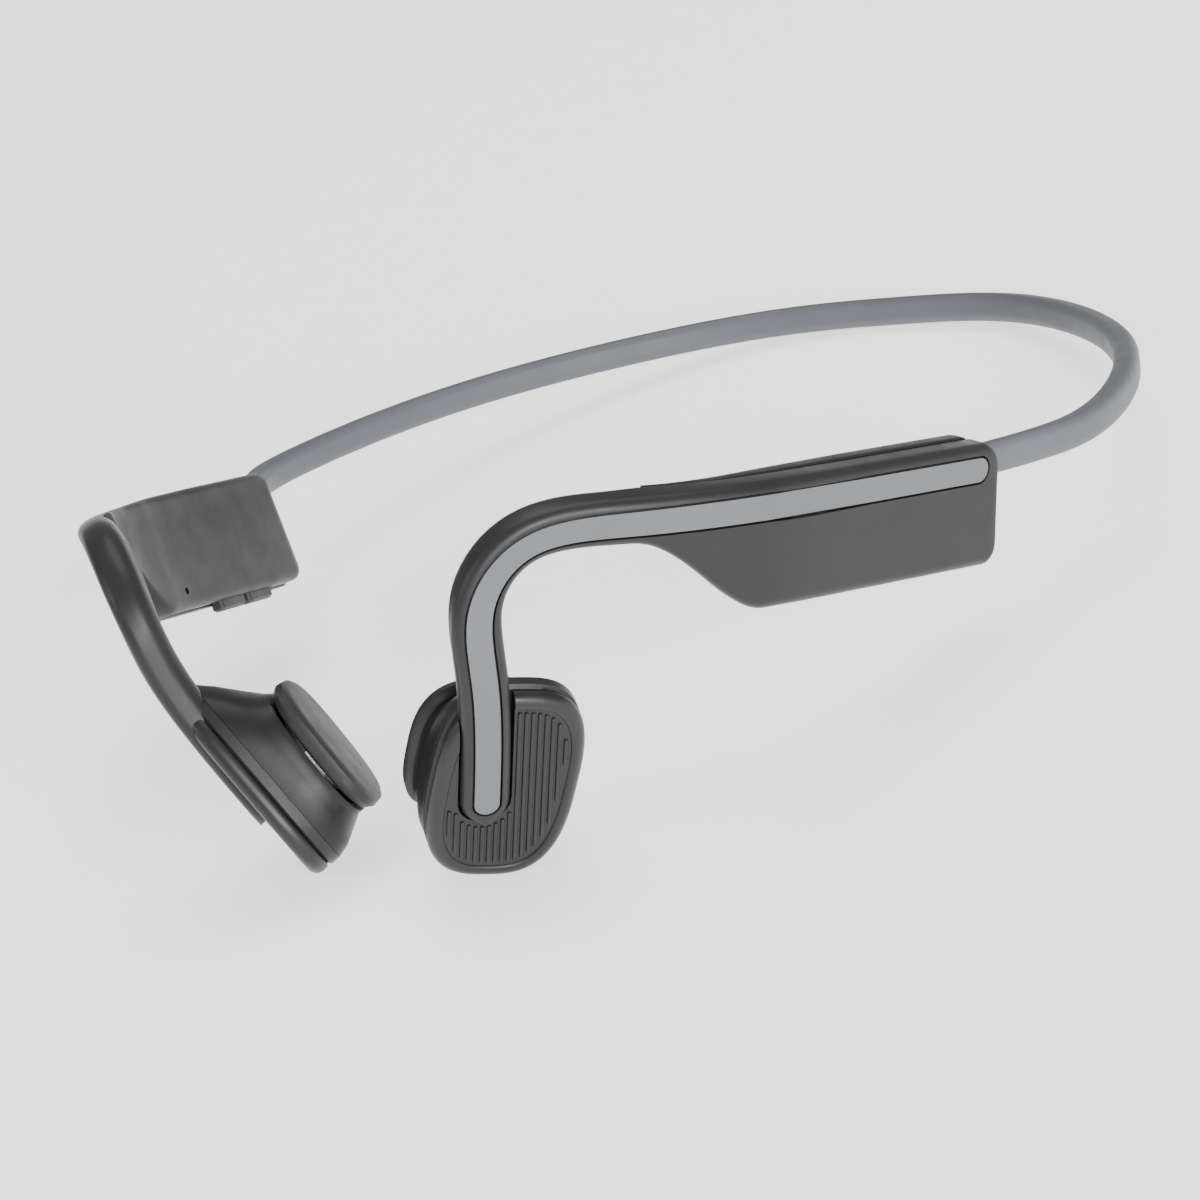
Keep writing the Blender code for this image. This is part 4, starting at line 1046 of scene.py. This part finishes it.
SKINS = {
    "left_arm_shell": "left_side",
    "left_inlay_strip": "left_side",
    "left_pod_cover": "left_side",
    "left_transducer_housing": "left_side",
    "left_skin_pad": "left_side",
    "multifunction_button": "multifunction_button",
    "right_arm_shell": "right_side",
    "right_inlay_strip": "right_side",
    "right_pod_cover": "right_side",
    "right_transducer_housing": "right_side",
    "right_skin_pad": "right_side",
    "right_ribbed_cap": "right_side",
    "volume_up_key": "volume_up_key",
    "volume_down_key": "volume_down_key",
    "charging_port_flap": "charging_port_flap",
    "band_sleeve": None,
}
SLOT_LOOKS = {
    "soft_touch_shell": "shell",
    "soft_touch_cover": "cover",
    "satin_strip": "strip",
    "ribbed_rubber": "cap",
    "pad_silicone": "pad",
    "band_silicone": "band",
    "key_rubber": "key",
    "steel": "steel",
    "titanium": "titanium",
    "dark_nickel": "magnet",
    "copper": "copper",
    "wire_jacket": "wire",
    "circuit_board": "board",
    "battery_foil": "battery",
    "foam": "foam",
    "ceramic": "ceramic",
    "clear_plastic": "clear",
}
BENT = ("band_core_wire", "band_signal_lead")
slots = {entry["node"]: entry["material_slot"] for entry in frame["record"]["subparts"]}


def place_skins():
    for node, body, piece in make_skins():
        if body:
            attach(piece, body)
        else:
            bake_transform(piece)
        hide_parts(node)


def dress_inner_pieces():
    """Materials for the CAD nodes that stay, and fixed copies of the wires inside the neckband in place
    of the CAD wires.
    """
    for node, thing in frame["nodes"].items():
        if node in SKINS:
            continue
        look = LOOKS[SLOT_LOOKS[slots[node]]]
        if node in BENT:
            copy = bpy.data.objects.new(f"{node}_skin", thing.data.copy())
            bpy.context.scene.collection.objects.link(copy)
            copy.data.materials.clear()
            copy.data.materials.append(look)
            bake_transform(copy)
            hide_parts(node)
            continue
        for index in range(len(thing.material_slots)):
            thing.material_slots[index].material = look


# Floor, light and camera

FLOOR_DROP = 0.0002  # under the lowest point, so that no face lies in the floor
FLOOR_GLOW = 1.1  # lifts the floor towards the photo's white ground
SKY_STRENGTH = 0.42
LENS = 133.2


def make_floor():
    mesh = bpy.data.meshes.new("floor")
    bm = bmesh.new()
    bmesh.ops.create_circle(bm, cap_ends=True, segments=96, radius=3.0)
    bm.to_mesh(mesh)
    bm.free()
    floor = bpy.data.objects.new("floor", mesh)
    bpy.context.scene.collection.objects.link(floor)
    floor.location = (0, 0, -FLOOR_DROP)
    white = (0.9, 0.9, 0.9)
    paper = finish_look("floor_paper", white, 0.75, grain=600.0, depth=0.01, mottle=0.01, specular=0.2)
    surface = paper.node_tree.nodes["Principled BSDF"].inputs
    surface["Emission Color"].default_value = (1, 1, 1, 1)
    surface["Emission Strength"].default_value = FLOOR_GLOW
    mesh.materials.append(paper)


def softbox(name, place, aim, size, power, colour=(1, 1, 1)):
    light = bpy.data.lights.new(name, "AREA")
    light.shape = "RECTANGLE"
    light.size, light.size_y = size
    light.energy = power
    light.color = colour
    made = bpy.data.objects.new(name, light)
    bpy.context.scene.collection.objects.link(made)
    made.location = place
    made.rotation_euler = (Vector(aim) - Vector(place)).to_track_quat("-Z", "Y").to_euler()


def make_studio():
    world = bpy.data.worlds.new("studio")
    bpy.context.scene.world = world
    world.use_nodes = True
    sky = world.node_tree.nodes["Background"].inputs
    sky["Color"].default_value = (1.0, 1.0, 1.0, 1)
    sky["Strength"].default_value = SKY_STRENGTH
    softbox("front_box", (1.0, -0.75, 0.35), (0.03, -0.02, 0.02), (0.8, 0.5), 27.0)
    softbox("left_box", (-0.7, -0.9, 0.7), (0, 0, 0.02), (0.5, 0.5), 4.0)
    softbox("top_box", (0.0, 0.5, 1.5), (0, 0, 0.02), (1.4, 1.0), 14.0)


def make_camera():
    lens = bpy.data.cameras.new("camera")
    lens.lens, lens.sensor_width = LENS, 36.0
    lens.clip_start, lens.clip_end = 0.01, 20.0
    camera = bpy.data.objects.new("camera", lens)
    bpy.context.scene.collection.objects.link(camera)
    camera.matrix_world = Matrix(
        (
            (0.82758, 0.02818, 0.56064, 0.34027),
            (0.46620, 0.52181, -0.71440, -0.44856),
            (-0.31268, 0.85260, 0.41870, 0.26083),
            (0, 0, 0, 1),
        )
    )
    bpy.context.scene.camera = camera


place_skins()
dress_inner_pieces()
make_floor()
make_studio()
make_camera()
